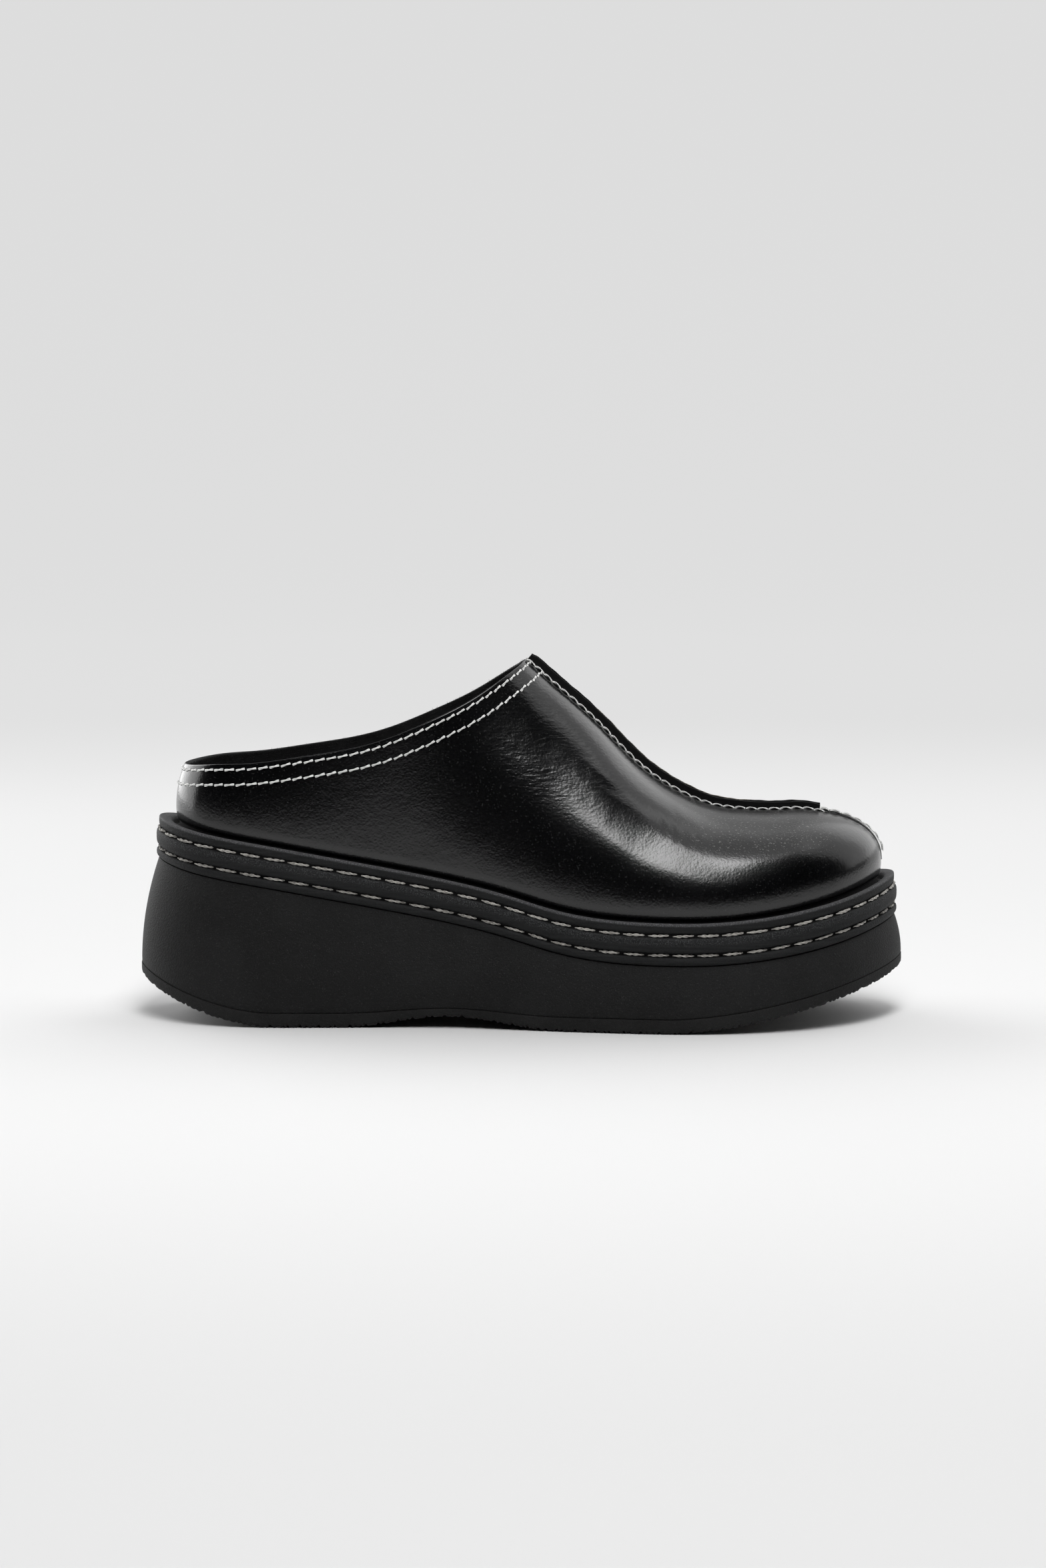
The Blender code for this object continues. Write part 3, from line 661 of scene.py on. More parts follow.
welt_thread = thread_finish("welt_thread", (0.50, 0.485, 0.45, 1), (0.19, 0.18, 0.165, 1), 2600.0)
groove_lines = []
for depth in GROOVE_DEPTHS:
    sunk = inset_sum(WALL_DRAFT, 0.00152)
    line = ring(TREAD_ROUND, sunk, lambda x, y, depth=depth: ledge_height(x) - depth / 1000)
    normals = read_at(PLAN_NORMALS, TREAD_ROUND)
    groove_lines.append((line, np.column_stack([normals, np.zeros(len(line))]), True))
sizes = {"Pitch": 0.0086, "Stitch Length": 0.0073, "Thread Width": 0.00108, "Rise": 0.00062, "Bow": 0.0}
sizes |= {"Twist": 1.6, "Slant": 0.015, "Waver": 0.03, "Taper": 0.62, "Seed": 3, "Finish": welt_thread}
add_growth("welt_stitches", "moulded_foam", groove_lines, STITCHES, sizes)

# Insole: a footbed board covered in black suede, laid in the upper on the wedge's seat.
# It is slightly dished for the foot, with a softly rounded edge.

LEATHER = 0.0018


def suede_finish():
    """Black suede: matt nap in soft patches, fine fibres and a weak sheen."""
    settings = {"Specular_IOR_Level": 0.2, "Sheen_Weight": 0.12, "Sheen_Roughness": 0.5}
    material, bench, shader = new_finish("black_suede", **settings)
    place = bench.node("ShaderNodeTexCoord", output="Object")
    nap = bench.noise(place, 1500.0, 3.0, 0.7)
    patches = bench.noise(place, 90.0, 3.0, 0.6)
    tone = bench.blend(patches.between(0.35, 0.7), (0.0045, 0.0045, 0.0048, 1), (0.012, 0.012, 0.0125, 1))
    tone = bench.blend(nap.between(0.55, 0.8) * 0.5, tone, (0.026, 0.026, 0.027, 1))
    feed(bench.tree, shader.inputs["Base Color"], tone)
    feed(bench.tree, shader.inputs["Roughness"], 0.86 + nap * 0.1)
    feed(bench.tree, shader.inputs["Normal"], bench.bump(nap, 0.00022))
    return material


black_suede = suede_finish()


def insole_mesh():
    edge = inset_sum(WALL_DRAFT, LEDGE_WIDTH, TUCK, LEATHER, 0.0003)
    rows = []
    for inset, lift in ((0.0006, 0.0), (0.0, 0.0006), (0.0, 0.0040), (0.0004, 0.0050), (0.0013, 0.00545)):

        def level(x, y, lift=lift):
            return ledge_height(x) - SEAT_DEPTH + lift

        rows.append(ring(WEDGE_ROUND, inset_sum(edge, inset), level))
    top = across(rows[-1], 16)
    share = np.linspace(0, 1, 17)[None, :]
    top[..., 2] -= 0.0011 * np.sin(share * math.pi) ** 2
    grids = [(np.array(rows), False, True), (across(rows[0], 3), False, False), (top, False, False)]
    return closed_mesh("footbed", grids)


add_piece("footbed", insole_mesh(), "suede", black_suede, replaced=("insole",))

# Upper: two halves of polished black leather, suede inside, sewn together on the centre line and lasted.
# It tucks in under a soft bulge at the welt, and creases softly where the foot bends it.

BULGE_HEIGHT = 0.0048
INSTEP_HEIGHT = 0.0820
OPENING_POWER = 0.60
COLLAR_LINE = [  # share of length, and height over the ledge as a share of the instep's
    (0.044, 0.244), (0.096, 0.296), (0.147, 0.332), (0.217, 0.404), (0.287, 0.486), (0.324, 0.543),
    (0.360, 0.612), (0.390, 0.676), (0.438, 0.790), (0.483, 0.928), (0.507, 1.006),
]
SEAM_LINE = [
    (0.507, 1.006), (0.537, 0.950), (0.572, 0.876), (0.607, 0.782), (0.642, 0.668), (0.678, 0.573),
    (0.713, 0.506), (0.748, 0.455), (0.783, 0.429), (0.818, 0.410), (0.857, 0.395),
]
SECTIONS = [  # share of length, roundness of the section, and its width at the collar
    (0.044, 2.00, 0.905), (0.160, 2.00, 0.920), (0.243, 2.00, 0.945), (0.316, 2.00, 0.968),
    (0.400, 1.95, 0.968), (0.507, 1.80, 0.968), (0.620, 1.85, 0.968), (0.720, 2.05, 0.968),
    (0.857, 2.25, 0.968), (0.975, 2.34, 0.968),
]
TUCK_STEPS, RIB_STEPS = 8, 58
SEAM_DIP, SEAM_FLARE, SEAM_FLARE_WIDTH = 0.0015, 0.0006, 0.0060
FIN_END_SHARE = 0.892
EDGE_ROLL = ((0.25, 0.05), (0.42, 0.2), (0.5, 0.5), (0.5, 1.3), (0.42, 1.6), (0.25, 1.75))
CREASES = [  # millimetres: from (along, up), to (along, up), half width, depth
    ((-8, 103), (6, 99), 1.1, 0.07), ((-4, 101), (12, 95), 1.2, 0.09), ((-1, 98), (17, 90), 1.2, 0.10),
    ((3, 95.5), (22, 86), 1.2, 0.10), ((8, 96), (27, 86.5), 1.3, 0.11), ((14, 92.5), (32, 82), 1.3, 0.10),
    ((10, 88), (26, 79), 1.5, 0.08), ((-9, 99), (3, 94), 1.1, 0.07), ((21, 90), (36, 80), 1.2, 0.09),
    ((50.5, 75), (54.5, 66), 0.9, 0.12), ((52.8, 76), (57, 65), 0.9, 0.13), ((55.4, 74), (59, 64), 1.0, 0.11),
    ((47, 76), (51, 68), 1.1, 0.09), ((58, 72), (62, 64), 1.1, 0.08), ((43, 78), (48, 70), 1.4, 0.07),
    ((12, 84), (30, 74), 5.0, 0.16), ((30, 76), (44, 66), 5.0, 0.14), ((-20, 84), (2, 70), 9.0, 0.12),
]
TOE_FAN = 40
UPPER_PAIRS = stations(34, 32, 40, 96, TOE_FAN)
SEAT_PLAN = inset_plan(inset_sum(WALL_DRAFT, LEDGE_WIDTH, TUCK))


def opening(share):
    """Width of the collar's opening as a share of the section's: it closes to nothing at the peak."""
    nearness = np.clip((share - OPENING_START_SHARE) / (PEAK_SHARE - OPENING_START_SHARE), 0, 1)
    return smooth_curve(SECTIONS, 2, share) * (1 - nearness**2) ** OPENING_POWER


def beside_fin(x):
    """1 where the raised seam stands, fading out at the peak and where it is trimmed off."""
    start, stop = x_at(PEAK_SHARE), x_at(FIN_END_SHARE)
    rise, fall = np.clip((x - start + 0.001) / 0.007, 0, 1), np.clip((stop + 0.002 - x) / 0.008, 0, 1)
    return rise**2 * (3 - 2 * rise) * fall**2 * (3 - 2 * fall)


def seam_height(x):
    line = ledge_height(x) + INSTEP_HEIGHT * smooth_curve(SEAM_LINE, 1, share_of(x))
    return line - SEAM_DIP * beside_fin(x)


def evened(x, values, reach):
    """Values along x, averaged over a reach."""
    weights = np.exp(-(((x[:, None] - x[None]) / reach) ** 2)) * np.abs(np.gradient(x))[None]
    return (weights * values[None]).sum(1) / weights.sum(1)


def rib_points(places, centres):
    """Points of the leather's ribs on one side, each from the seat up to the collar or the seam."""
    foot, seat = read_at(FOOT_PLAN, places), read_at(SEAT_PLAN, places)
    x = np.where(np.abs(foot[:, 0] - centres[:, 0]) > 1e-3, foot[:, 0], centres[:, 0])
    share = share_of(x)
    ledge, widest = ledge_height(foot[:, 0]), ledge_height(foot[:, 0]) + BULGE_HEIGHT
    power = 2 / smooth_curve(SECTIONS, 1, share)
    behind = share < PEAK_SHARE - 1e-6
    rounding = 0.0005 * np.clip(opening(share) / 0.3, 0, 1)
    collar = ledge + INSTEP_HEIGHT * smooth_curve(COLLAR_LINE, 1, share) - rounding
    top = np.where(behind, collar, seam_height(np.minimum(x, x_at(TOE_CENTRE_SHARE))))
    end = np.where(behind, np.arccos(np.clip(opening(share), 0, 1) ** (1 / power)), math.pi / 2)
    rise = (top - widest) / np.sin(end) ** power
    at_peak = np.exp(-(((share - PEAK_SHARE) / 0.035) ** 4))
    rise = rise + (evened(x, rise, 0.005) - rise) * at_peak
    reached = np.clip((top - widest) / rise, 0, 1) ** (1 / power)
    end = np.where(behind, np.arcsin(reached), end)
    rows = [np.column_stack([seat, ledge_height(seat[:, 0]) - SEAT_DEPTH])]
    for step in range(TUCK_STEPS):
        low = 1 - step / TUCK_STEPS
        tucked = foot + (seat - foot) * (1 - math.sqrt(1 - low**2 * 0.999))
        rows.append(np.column_stack([tucked, widest - BULGE_HEIGHT * low]))
    for step in range(RIB_STEPS + 1):
        turn = end * step / RIB_STEPS
        width = np.where((step == RIB_STEPS) & ~behind, 0.0, np.clip(np.cos(turn), 0, 1) ** power)
        plan = centres + (foot - centres) * width[:, None]
        rows.append(np.column_stack([plan, widest + rise * np.sin(turn) ** power]))
    return np.stack(rows, axis=1)


def crease_depth(points, mirrored):
    """How far the leather is pressed in by its creases, read in side view."""
    flat = points[..., [0, 2]] * 1000
    depth = np.zeros(flat.shape[:-1])
    for start, stop, half, deep in CREASES:
        start, stop = np.array(start, float), np.array(stop, float)
        if mirrored:
            start, stop = start + [4, -3], stop + [2, -5]
        along = stop - start
        share = np.clip((flat - start) @ along / (along @ along), 0, 1)
        gap = np.linalg.norm(flat - start - share[..., None] * along, axis=-1) / half
        trough = np.exp(-(gap**2)) - 0.45 * np.exp(-((gap - 1.9) ** 2))
        depth += deep / 1000 * trough * np.sin(math.pi * np.clip(share, 0.06, 0.94)) ** 0.5
    return depth


def upper_grids():
    """Outer skin of the leather in one round, its normals, and which stations are closed on top."""
    outer_places, inner_places, centres = UPPER_PAIRS
    outer, inner = rib_points(outer_places, centres), rib_points(inner_places, centres)
    half = len(centres)
    skin = np.concatenate([outer, inner[1:-1][::-1]])
    share = share_of(skin[:, TUCK_STEPS, 0])
    calm = np.clip(np.abs(share - PEAK_SHARE) / 0.03 - 0.6, 0, 1)[:, None, None]
    for _ in range(8):
        softer = 0.25 * (np.roll(skin, 1, 0) + np.roll(skin, -1, 0)) + 0.5 * skin
        skin = skin + (softer - skin) * calm
    gap = np.abs(skin[..., 1] - axis_y(skin[..., 0])) / SEAM_FLARE_WIDTH
    skin[..., 2] += SEAM_FLARE * beside_fin(skin[..., 0]) * np.exp(-(gap**2)) * (skin[..., 2] > 0.06)
    round_way = np.roll(skin, -1, 0) - np.roll(skin, 1, 0)
    up_way = np.gradient(skin, axis=1)
    normals = np.cross(round_way, up_way)
    length = np.linalg.norm(normals, axis=2)[..., None]
    normals = normals / np.maximum(length, 1e-12)
    partner = (len(skin) - np.arange(len(skin))) % len(skin)
    peak = int(np.argmin(np.abs(centres[:, 0] - x_at(PEAK_SHARE)) + 1.0 * (np.abs(centres[:, 0]) > 0.1)))
    closed = np.zeros(len(skin), bool)
    closed[peak:half] = True
    closed |= closed[partner]
    crest = normals[:, -1] + normals[partner, -1]
    crest /= np.maximum(np.linalg.norm(crest, axis=1), 1e-12)[:, None]
    toe = half - 1 - TOE_FAN
    crest[toe:half] = crest[toe]
    crest[partner[toe:half]] = crest[toe]
    normals[closed, -1] = crest[closed]
    skin[closed, -1] = 0.5 * (skin[closed, -1] + skin[partner[closed], -1])
    return skin, normals, closed, partner, peak


SKIN, SKIN_NORMALS, CLOSED, PARTNER, PEAK = upper_grids()


def upper_mesh():
    skin = SKIN.copy()
    near = np.arange(len(skin)) < len(UPPER_PAIRS[2])
    step, last = np.arange(skin.shape[1]), skin.shape[1] - 1
    fade = np.clip(step / 14 - 0.6, 0, 1) * np.clip((last - step) / 3, 0, 1)
    pressed = np.where(near[:, None], crease_depth(skin, False), crease_depth(skin, True)) * fade
    skin = skin - SKIN_NORMALS * pressed[..., None]
    plan_normals = np.column_stack([read_at(PLAN_NORMALS, round_places(UPPER_PAIRS)), np.zeros(len(skin))])
    inward = SKIN_NORMALS.copy()
    low = TUCK_STEPS + 2
    inward[:, :low] = plan_normals[:, None]
    lining = skin - inward * LEATHER
    lining[:, 0, 2] = skin[:, 0, 2]
    lining = lining[:, [*range(0, last, 2), last]]
    upward = skin[:, -1] - skin[:, -2]
    upward /= np.maximum(np.linalg.norm(upward, axis=1), 1e-9)[:, None]
    gap = np.linalg.norm(skin[:, -1] - skin[PARTNER, -1], axis=1)
    size = np.clip(gap / 0.004, 0, 1)[:, None]
    roll = [skin[:, -1]]
    for lift, back in EDGE_ROLL:
        roll.append(skin[:, -1] + upward * lift / 1000 * size - SKIN_NORMALS[:, -1] * back / 1000)
    roll.append(lining[:, -1])
    roll = np.stack(roll, axis=1)
    open_run = np.concatenate([np.arange(len(skin) - PEAK, len(skin)), np.arange(0, PEAK + 1)])
    open_run = np.concatenate([[PARTNER[PEAK]], open_run]) if open_run[0] != PARTNER[PEAK] else open_run
    foot = np.stack([lining[:, 0], skin[:, 0]], axis=1)
    rounds = [(grid, True, False) for grid in (skin, lining[:, ::-1], foot)]
    return closed_mesh("leather_upper", [*rounds[:2], (roll[open_run], False, False), rounds[2]])


def leather_finish():
    """Polished black leather: fine pores, a few scuffs and dust, and a gloss that breaks up in the grain."""
    settings = {"Specular_IOR_Level": 0.5, "Coat_Roughness": 0.14, "Coat_IOR": 1.4}
    material, bench, shader = new_finish("polished_black_leather", **settings)
    place = bench.node("ShaderNodeTexCoord", output="Object")
    pores = bench.node("ShaderNodeTexVoronoi", {"feature": "F1"}, {"Vector": place, "Scale": 1250.0})
    fine = bench.noise(place, 2400.0, 2.0, 0.6)
    swell = bench.noise(place, 95.0, 2.0, 0.5)
    grain = bench.noise(place, 1000.0, 1.0, 0.5)
    drawn = bench.node("ShaderNodeMapping", {}, {"Vector": place, "Scale": (330.0, 330.0, 1050.0)})
    wrinkles = bench.noise(drawn, 1.0, 1.0, 0.5)
    cloud = bench.noise(place, 30.0, 3.0, 0.6)
    specks = bench.noise(place, 1700.0, 0.0).between(0.70, 0.76)
    parts = bench.node("ShaderNodeSeparateXYZ", {}, {"Vector": place})
    along, up = parts, Reading(bench.tree, parts.socket.node.outputs[2])
    dusty = along.between(0.045, 0.075) * (1 - along.between(0.100, 0.115)) * up.between(0.058, 0.066)
    tone = bench.blend(cloud.between(0.3, 0.7), (0.0004, 0.0005, 0.0007, 1), (0.0009, 0.0010, 0.0013, 1))
    tone = bench.blend(specks * (0.10 + dusty * 0.75), tone, (0.16, 0.16, 0.155, 1))
    feed(bench.tree, shader.inputs["Base Color"], tone)
    feed(bench.tree, shader.inputs["Roughness"], 0.15 + cloud * 0.06 + fine * 0.07 + dusty * 0.10)
    feed(bench.tree, shader.inputs["Coat Weight"], 0.25 - dusty * 0.2)
    upper_vamp = along.between(-0.025, 0.005) * (1 - along.between(0.040, 0.070)) * up.between(0.070, 0.088)
    height = pores * 0.4 + fine * 0.2 + swell * 3.0 + grain * 1.1 + wrinkles * upper_vamp * 2.6
    feed(bench.tree, shader.inputs["Normal"], bench.bump(height, 0.00004))
    return material


black_leather = leather_finish()


def mark_lining(mesh):
    """Gives suede to what faces inwards and to the cut edge of the collar."""
    skin, normals = SKIN.reshape(-1, 3), SKIN_NORMALS.reshape(-1, 3)
    tree = KDTree(len(skin))
    for i, point in enumerate(skin):
        tree.insert(point, i)
    tree.balance()
    for face in mesh.polygons:
        _, i, gap = tree.find(face.center)
        if np.dot(normals[i], face.normal) < 0.3 or gap > 0.0012:
            face.material_index = 1


mesh = upper_mesh()
mesh.materials.append(black_leather)
mesh.materials.append(black_suede)
mark_lining(mesh)
finishes = (black_leather, black_suede)
add_piece("leather_upper", mesh, "polished_leather", *finishes, replaced=("upper",), sharp=60)

# Raised seam: the raw edges of both halves, sewn back to back and standing up along the centre line.
# It is two cut leather edges side by side, trimmed off at the toe, where the seam goes on pressed flat.

FIN_HEIGHT, FIN_END_HEIGHT, FIN_ROOT = 0.0030, 0.0023, 0.0010


def crest_line():
    """Close points of the centre seam from the peak over the toe, with their directions along and up."""
    half = len(UPPER_PAIRS[2])
    toe = half - 1 - TOE_FAN
    top = SKIN[PEAK : toe + 1, -1]
    front = SKIN[half - 1, ::-1][: RIB_STEPS + 1]
    path = np.concatenate([top, front[1:]])
    gaps = np.concatenate([[0], np.cumsum(np.linalg.norm(np.diff(path, axis=0), axis=1))])
    at = np.arange(0, gaps[-1], 0.0008)
    path = np.stack([np.interp(at, gaps, path[:, axis]) for axis in range(3)], axis=1)
    for _ in range(6):
        path[1:-1] = 0.25 * (path[:-2] + path[2:]) + 0.5 * path[1:-1]
    along = np.gradient(path, axis=0)
    along /= np.linalg.norm(along, axis=1)[:, None]
    up = np.stack([-along[:, 2], np.zeros(len(path)), along[:, 0]], axis=1)
    return path, along, up


CREST, CREST_ALONG, CREST_UP = crest_line()
FIN_COUNT = int(np.argmax(CREST[:, 0] > x_at(FIN_END_SHARE)))


def fin_mesh():
    share = np.linspace(0, 1, FIN_COUNT)
    height = FIN_HEIGHT + (FIN_END_HEIGHT - FIN_HEIGHT) * np.clip((share - 0.55) / 0.45, 0, 1) ** 1.3
    grids = []
    for side, seed in ((-1, 0.0), (1, 2.1)):
        wave = 0.00006 * np.sin(share * 61 + seed) + 0.00005 * np.sin(share * 143 + seed)
        start = np.clip((share * FIN_COUNT * 0.8 - 0.2) / 2.0, 0, 1)
        tops = (height + wave + (0.00034 if side > 0 else 0)) * (0.78 + 0.22 * start)
        section = [(0.05, -FIN_ROOT, 0), (0.10, 0, 0.95), (0.16, 0, 1.0), (1.42, 0, 1.0), (1.56, 0, 0.95)]
        section += [(1.60, 0, 0.85), (1.62, 0, 0.4), (1.68, 0, 0.10), (1.80, -0.00015, 0.0)]
        section += [(1.80, -FIN_ROOT, 0)]
        rows = []
        for across_mm, base, part in section:
            shift = np.zeros((FIN_COUNT, 3))
            shift[:, 1] = side * across_mm / 1000
            rows.append(CREST[:FIN_COUNT] + shift + CREST_UP[:FIN_COUNT] * (base + tops * part)[:, None])
        grid = np.stack(rows, axis=1)
        grids.append((grid, False, True))
        for cap in (grid[0], grid[-1]):
            grids.append((np.stack([cap[:5], cap[:4:-1]]), False, False))
    return closed_mesh("raised_seam", grids)


def edge_finish():
    """Cut leather edge: matt black with pale scratches; the paler top along the inner half is a painted
    highlight in a finish of its own.
    """
    material, bench, shader = new_finish("cut_leather_edge", Specular_IOR_Level=0.15)
    place = bench.node("ShaderNodeTexCoord", output="Object")
    stretched = bench.node("ShaderNodeMapping", {}, {"Vector": place, "Scale": (90.0, 900.0, 1400.0)})
    scratches = bench.noise(stretched, 1.0, 2.0, 0.6).between(0.60, 0.74)
    fine = bench.noise(place, 2200.0, 2.0, 0.7)
    tone = bench.blend(fine, (0.0010, 0.0010, 0.0011, 1), (0.0026, 0.0026, 0.0028, 1))
    tone = bench.blend(scratches * 0.3, tone, grey(0.030))
    feed(bench.tree, shader.inputs["Base Color"], tone)
    feed(bench.tree, shader.inputs["Roughness"], 0.52 + fine * 0.2)
    feed(bench.tree, shader.inputs["Normal"], bench.bump(fine, 0.00006))
    return material


def raw_edge_highlight_finish():
    """Raw cut top of the inner half's edge, painted pale and mottled as the highlight where the light from
    above catches it.
    """
    material, bench, shader = new_finish("raw_edge_painted_highlight", Specular_IOR_Level=0.2)
    place = bench.node("ShaderNodeTexCoord", output="Object")
    # This mottle breaks up the painted highlight on the raw top.
    worn = bench.noise(place, 900.0, 2.0, 0.6)
    tone = bench.blend(worn.between(0.3, 0.7), (0.10, 0.095, 0.085, 1), (0.34, 0.32, 0.28, 1))
    feed(bench.tree, shader.inputs["Base Color"], tone)
    feed(bench.tree, shader.inputs["Roughness"], 0.7 + worn * 0.2)
    return material


def mark_raw_edge_highlight(mesh):
    """Puts the painted highlight on the raw top of the inner half, along the middle of the seam."""
    for face in mesh.polygons:
        nearest = int(np.argmin(np.linalg.norm(CREST[:FIN_COUNT] - np.array(face.center), axis=1)))
        offset = np.array(face.center) - CREST[nearest]
        if offset[1] > 0 and offset @ CREST_UP[nearest] > 0.0024 and 0.24 < nearest / FIN_COUNT < 0.80:
            face.material_index = 1


cut_edge = edge_finish()
mesh = fin_mesh()
mesh.materials.append(cut_edge)
# The second finish is the painted highlight on the raw top of the inner half.
mesh.materials.append(raw_edge_highlight_finish())
mark_raw_edge_highlight(mesh)
add_piece("raised_seam", mesh, "polished_leather", cut_edge, sharp=35)


def flat_seam_mesh():
    """The pressed seam over the toe's front: a low double ridge that fades towards the welt."""
    path, up = CREST[FIN_COUNT - 1 :], CREST_UP[FIN_COUNT - 1 :]
    share = np.linspace(0, 1, len(path))
    height = 0.0010 - 0.0007 * share
    half_ridge = [(1.9, -0.0008, 0), (1.9, -0.00012, 0), (1.5, 0, 0.35), (1.0, 0, 0.8), (0.5, 0, 1.0)]
    half_ridge.append((0.15, 0, 0.95))
    left = [(-across_mm, base, part) for across_mm, base, part in half_ridge]
    rows = []
    for across_mm, base, part in (*left, (0.0, 0, 0.45), *half_ridge[::-1]):
        shift = np.zeros((len(path), 3))
        shift[:, 1] = across_mm / 1000
        rows.append(path + shift + up * (base + height * part)[:, None])
    grid = np.stack(rows, axis=1)
    caps = [(np.stack([cap[:6], cap[:6:-1]]), False, False) for cap in (grid[0], grid[-1])]
    tips = [(np.stack([cap[5:7], cap[[7, 6]]]), False, False) for cap in (grid[0], grid[-1])]
    return closed_mesh("pressed_seam", [(grid, False, True), *caps, *tips])


add_piece("pressed_seam", flat_seam_mesh(), "polished_leather", black_leather, sharp=0)

# Upper stitches: bright white thread in two rows round the collar, and in arcs along both sides of the seam.
# The arcs lie against the raised edges, and over the flat toe seam they run as two rows.

white_thread = thread_finish("white_thread", (0.93, 0.93, 0.91, 1), (0.72, 0.72, 0.71, 1), 2400.0)


def row_below(distance):
    """Line on the leather at a distance from the collar's edge, from one side of the seam to the other."""
    count = len(SKIN)
    edge = SKIN[[*range(count - PEAK, count), *range(0, PEAK + 1)], -1]
    points, outward = [], []
    reach = 14
    inner_run = [PARTNER[i] for i in range(PEAK + reach, 0, -1)]
    outer_run = list(range(0, PEAK + reach + 1))
    for column in inner_run + outer_run:
        rib = SKIN[column, TUCK_STEPS:]
        gaps = np.sqrt(((rib[:, None] - edge[None]) ** 2).sum(-1)).min(1)
        far = np.nonzero(gaps > distance)[0]
        if gaps[-1] > distance or not len(far):
            continue
        k = far[-1]
        part = (gaps[k] - distance) / (gaps[k] - gaps[k + 1])
        normals = SKIN_NORMALS[column, TUCK_STEPS:]
        points.append(rib[k] * (1 - part) + rib[k + 1] * part)
        outward.append(normals[k] * (1 - part) + normals[k + 1] * part)
    points, outward = np.array(points), np.array(outward)
    return points + outward * 0.00004, outward, False


collar_rows = [row_below(0.0016), row_below(0.0069)]
sizes = {"Pitch": 0.0040, "Stitch Length": 0.0034, "Thread Width": 0.00088, "Rise": 0.00034, "Bow": 0.0}
sizes |= {"Twist": 0.5, "Slant": 0.14, "Waver": 0.05, "Taper": 0.16, "Seed": 11, "Finish": white_thread}
add_growth("collar_stitches", "polished_leather", collar_rows, STITCHES, sizes)

fin_rows = []
for side in (-1, 1):
    aside = np.array([0, side * 0.00182, 0])
    line = CREST[2:FIN_COUNT] + aside + CREST_UP[2:FIN_COUNT] * 0.00002
    outward = np.tile([0.0, side * 0.9, 0.0], (len(line), 1)) + CREST_UP[2:FIN_COUNT] * 0.43
    fin_rows.append((line[::-side], outward[::-side], False))
for side in (-1, 1):
    aside = np.array([0, side * 0.0014, 0])
    start = FIN_COUNT + 1
    line = CREST[start:-6] + aside + CREST_UP[start:-6] * 0.00080
    outward = CREST_UP[start:-6] * 0.85 + np.array([0, side * 0.5, 0])
    fin_rows.append((line[::-side], outward[::-side], False))
sizes = {"Pitch": 0.0040, "Stitch Length": 0.0039, "Thread Width": 0.00070, "Rise": 0.00016, "Bow": 0.00050}
sizes |= {"Twist": 0.5, "Slant": 0.0, "Waver": 0.04, "Taper": 0.20, "Seed": 21, "Finish": white_thread}
add_growth("seam_stitches", "polished_leather", fin_rows, STITCHES, sizes)

# Collar nap: loose fibres of the suede lining, standing up along the cut edge and just inside it.
# They are short bent hairs in rows on the lining, dark, with a few that catch the light.


def nap_tree():
    """Geometry nodes: bent hairs at random angles along the strips of a mesh."""
    bench, size = new_growth("nap", ("Pitch", "Hair Length", "Hair Width", "Bend", "Spread"))
    tip = bench.node("ShaderNodeCombineXYZ", {}, {"Z": size["Hair Length"]})
    line = bench.node("GeometryNodeCurvePrimitiveLine", {}, {"End": tip})
    line = bench.node("GeometryNodeResampleCurve", {}, {"Curve": line, "Count": 4})
    along = bench.node("GeometryNodeSplineParameter")
    offset = bench.node("ShaderNodeCombineXYZ", {}, {"X": size["Bend"] * along * along})
    line = bench.node("GeometryNodeSetPosition", {}, {"Geometry": line, "Offset": offset})
    profile = bench.node("GeometryNodeCurvePrimitiveCircle", {}, {"Resolution": 3, "Radius": 1.0})
    radius = size["Hair Width"] * 0.5 * (1.0 - along * 0.6)
    inputs = {"Curve": line, "Profile Curve": profile, "Scale": radius, "Fill Caps": True}
    hair = bench.node("GeometryNodeCurveToMesh", {}, inputs)
    angles = {}
    for place, (axis, reach) in enumerate(zip("XYZ", (1.0, 1.0, 3.0))):
        span = size["Spread"] * reach
        angles[axis] = bench.random(span * -1.0, span, size["Seed"] + float(place))
    tall = bench.random(0.15, 1.0, size["Seed"] + 9.0)
    return spread_out(bench, size, hair, angles, {"X": 1.0, "Y": 1.0, "Z": 0.2 + tall * tall * 0.8})


def nap_rows():
    """Lines round the lining: one on the cut edge and some inside it."""
    run = [*range(len(SKIN) - PEAK + 2, len(SKIN)), *range(0, PEAK - 1)]
    rows = []
    for back, step in ((0.0013, 0), (0.0017, 0), (0.0018, 1), (0.0018, 3), (0.0018, 5), (0.0018, 8)):
        line = SKIN[run, -1 - step] - SKIN_NORMALS[run, -1 - step] * back
        upward = SKIN[run, -1] - SKIN[run, -2]
        upward /= np.linalg.norm(upward, axis=1)[:, None]
        if step == 0:
            line = line + upward * 0.0001
        rows.append((line, upward * (1.0 if step == 0 else 0.7) - SKIN_NORMALS[run, -1 - step] * 0.6, False))
    return rows


sizes = {"Pitch": 0.00042, "Hair Length": 0.0011, "Hair Width": 0.00012, "Bend": 0.0004, "Spread": 0.9}
sizes |= {"Seed": 41, "Finish": black_suede}
add_growth("collar_nap", "suede", nap_rows(), nap_tree(), sizes)

# Studio: a white table swept up into a pale backdrop, whose front edge ends in the dark before the camera.
# A tall tilted soft box stands on the camera's side, with one panel overhead and one behind each end.
# The camera is on the shoe's outer side, slightly raised, as in a catalogue picture.


def sweep_mesh():
    profile = [(-1.0, 0.0), (2.2, 0.0)]
    for turn in np.linspace(0, math.pi / 2, 17)[1:]:
        profile.append((2.2 + 1.6 * math.sin(turn), 1.6 * (1 - math.cos(turn))))
    profile.append((3.8, 6.0))
    rows = np.array([[(x, y, z) for x in (-6.0, -2.0, 2.0, 6.0)] for y, z in profile])
    mesh = bpy.data.meshes.new("studio_sweep")
    mesh.from_pydata(rows.reshape(-1, 3).tolist(), [], quads(rows.shape[0], 4).tolist())
    return mesh


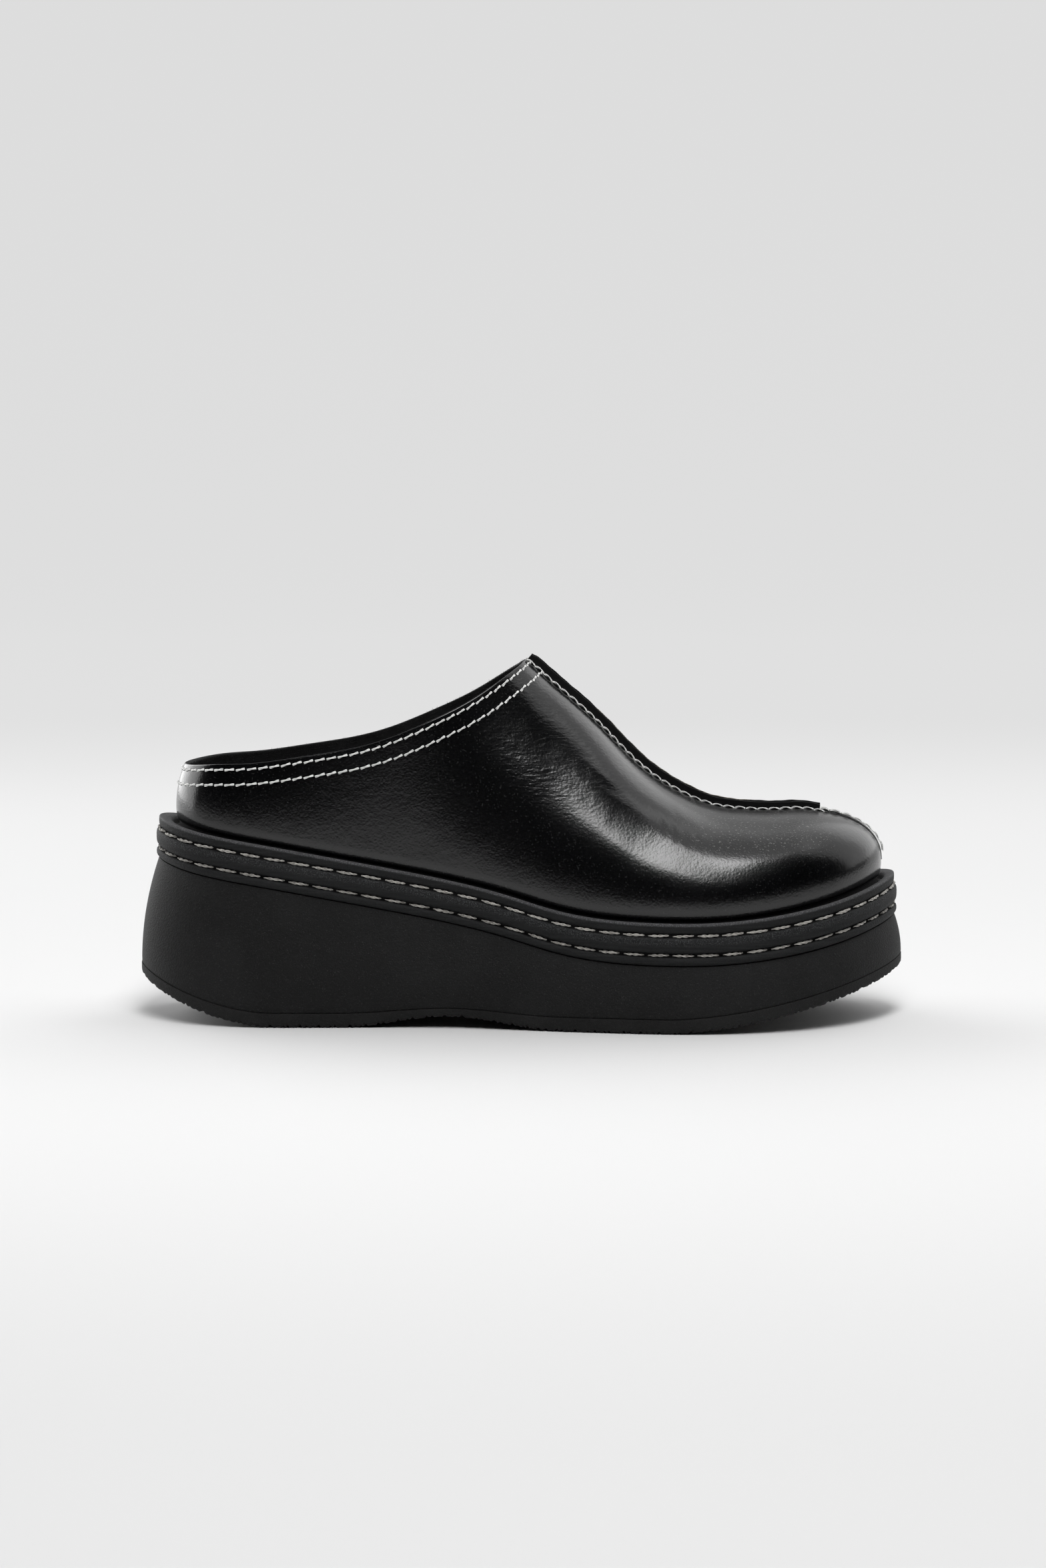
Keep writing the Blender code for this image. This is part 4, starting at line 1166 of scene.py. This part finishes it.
def paper_finish():
    """White paper sweep: towards the back it is a painted glow that greys away from the shoe, and the floor
    in front is painted greyer towards its edge as shade.
    """
    settings = {"Specular_IOR_Level": 0.1, "Roughness": 0.9, "Emission_Strength": 1.0}
    material, bench, shader = new_finish("studio_paper", **settings)
    place = bench.node("ShaderNodeTexCoord", output="Object")
    parts = bench.node("ShaderNodeSeparateXYZ", {}, {"Vector": place})
    depth = Reading(bench.tree, parts.socket.node.outputs[1])
    away = depth.between(0.15, 0.95)
    # Painted glow of the backdrop, standing in for light from the lamps, dimming towards the back.
    glow = bench.blend(depth.between(0.35, 1.35), grey(0.88), grey(0.723))
    # Painted shade on the floor, darker towards its front edge.
    near = bench.blend(depth.between(-0.60, -0.12), grey(0.69), grey(0.84))
    feed(bench.tree, shader.inputs["Base Color"], bench.blend(away, near, grey(0.0)))
    feed(bench.tree, shader.inputs["Emission Color"], bench.blend(away, grey(0.0), glow))
    return material


sweep = bpy.data.objects.new("studio_sweep", sweep_mesh())
sweep.data.materials.append(paper_finish())
sweep.data.shade_smooth()
bpy.context.scene.collection.objects.link(sweep)


def soft_light(name, place, target, size, watts, tilt=0):
    lamp = bpy.data.lights.new(name, "AREA")
    lamp.shape, lamp.size, lamp.size_y, lamp.energy = "RECTANGLE", *size, watts
    light = bpy.data.objects.new(name, lamp)
    light.location = place
    aimed = (Vector(target) - Vector(place)).to_track_quat("-Z", "Y")
    light.rotation_euler = (aimed @ Quaternion((0, 0, 1), math.radians(tilt))).to_euler()
    bpy.context.scene.collection.objects.link(light)


soft_light("key_soft_box", (0.09, -0.86, 1.40), (0.05, 0.0, 0.06), (0.44, 1.20), 18.0, -20)
soft_light("overhead_panel", (0.35, 0.35, 1.75), (0.1, 0.1, 0.05), (1.7, 0.9), 4.0)
soft_light("toe_side_panel", (1.30, 0.75, 1.15), (0.1, 0.1, 0.1), (2.2, 2.2), 14.0)
soft_light("heel_side_panel", (-1.45, 1.1, 0.65), (-0.1, 0.2, 0.1), (2.4, 1.7), 30.0)

world = bpy.data.worlds.new("studio_air")
world.use_nodes = True
bench = Bench(world.node_tree)
backdrop = world.node_tree.nodes["Background"]
seen = bench.node("ShaderNodeLightPath", output="Is Camera Ray")
feed(bench.tree, backdrop.inputs["Color"], bench.blend(seen, grey(0.012), grey(0.723)))
bpy.context.scene.world = world
bpy.context.scene.view_settings.view_transform = "Standard"

lens = bpy.data.cameras.new("catalogue_camera")
lens.lens = 90
camera = bpy.data.objects.new("catalogue_camera", lens)
camera.location = (0.0004, -1.391, 0.2198)
camera.rotation_euler = (math.radians(90 - 5.65), 0, 0)
bpy.context.scene.collection.objects.link(camera)
bpy.context.scene.camera = camera
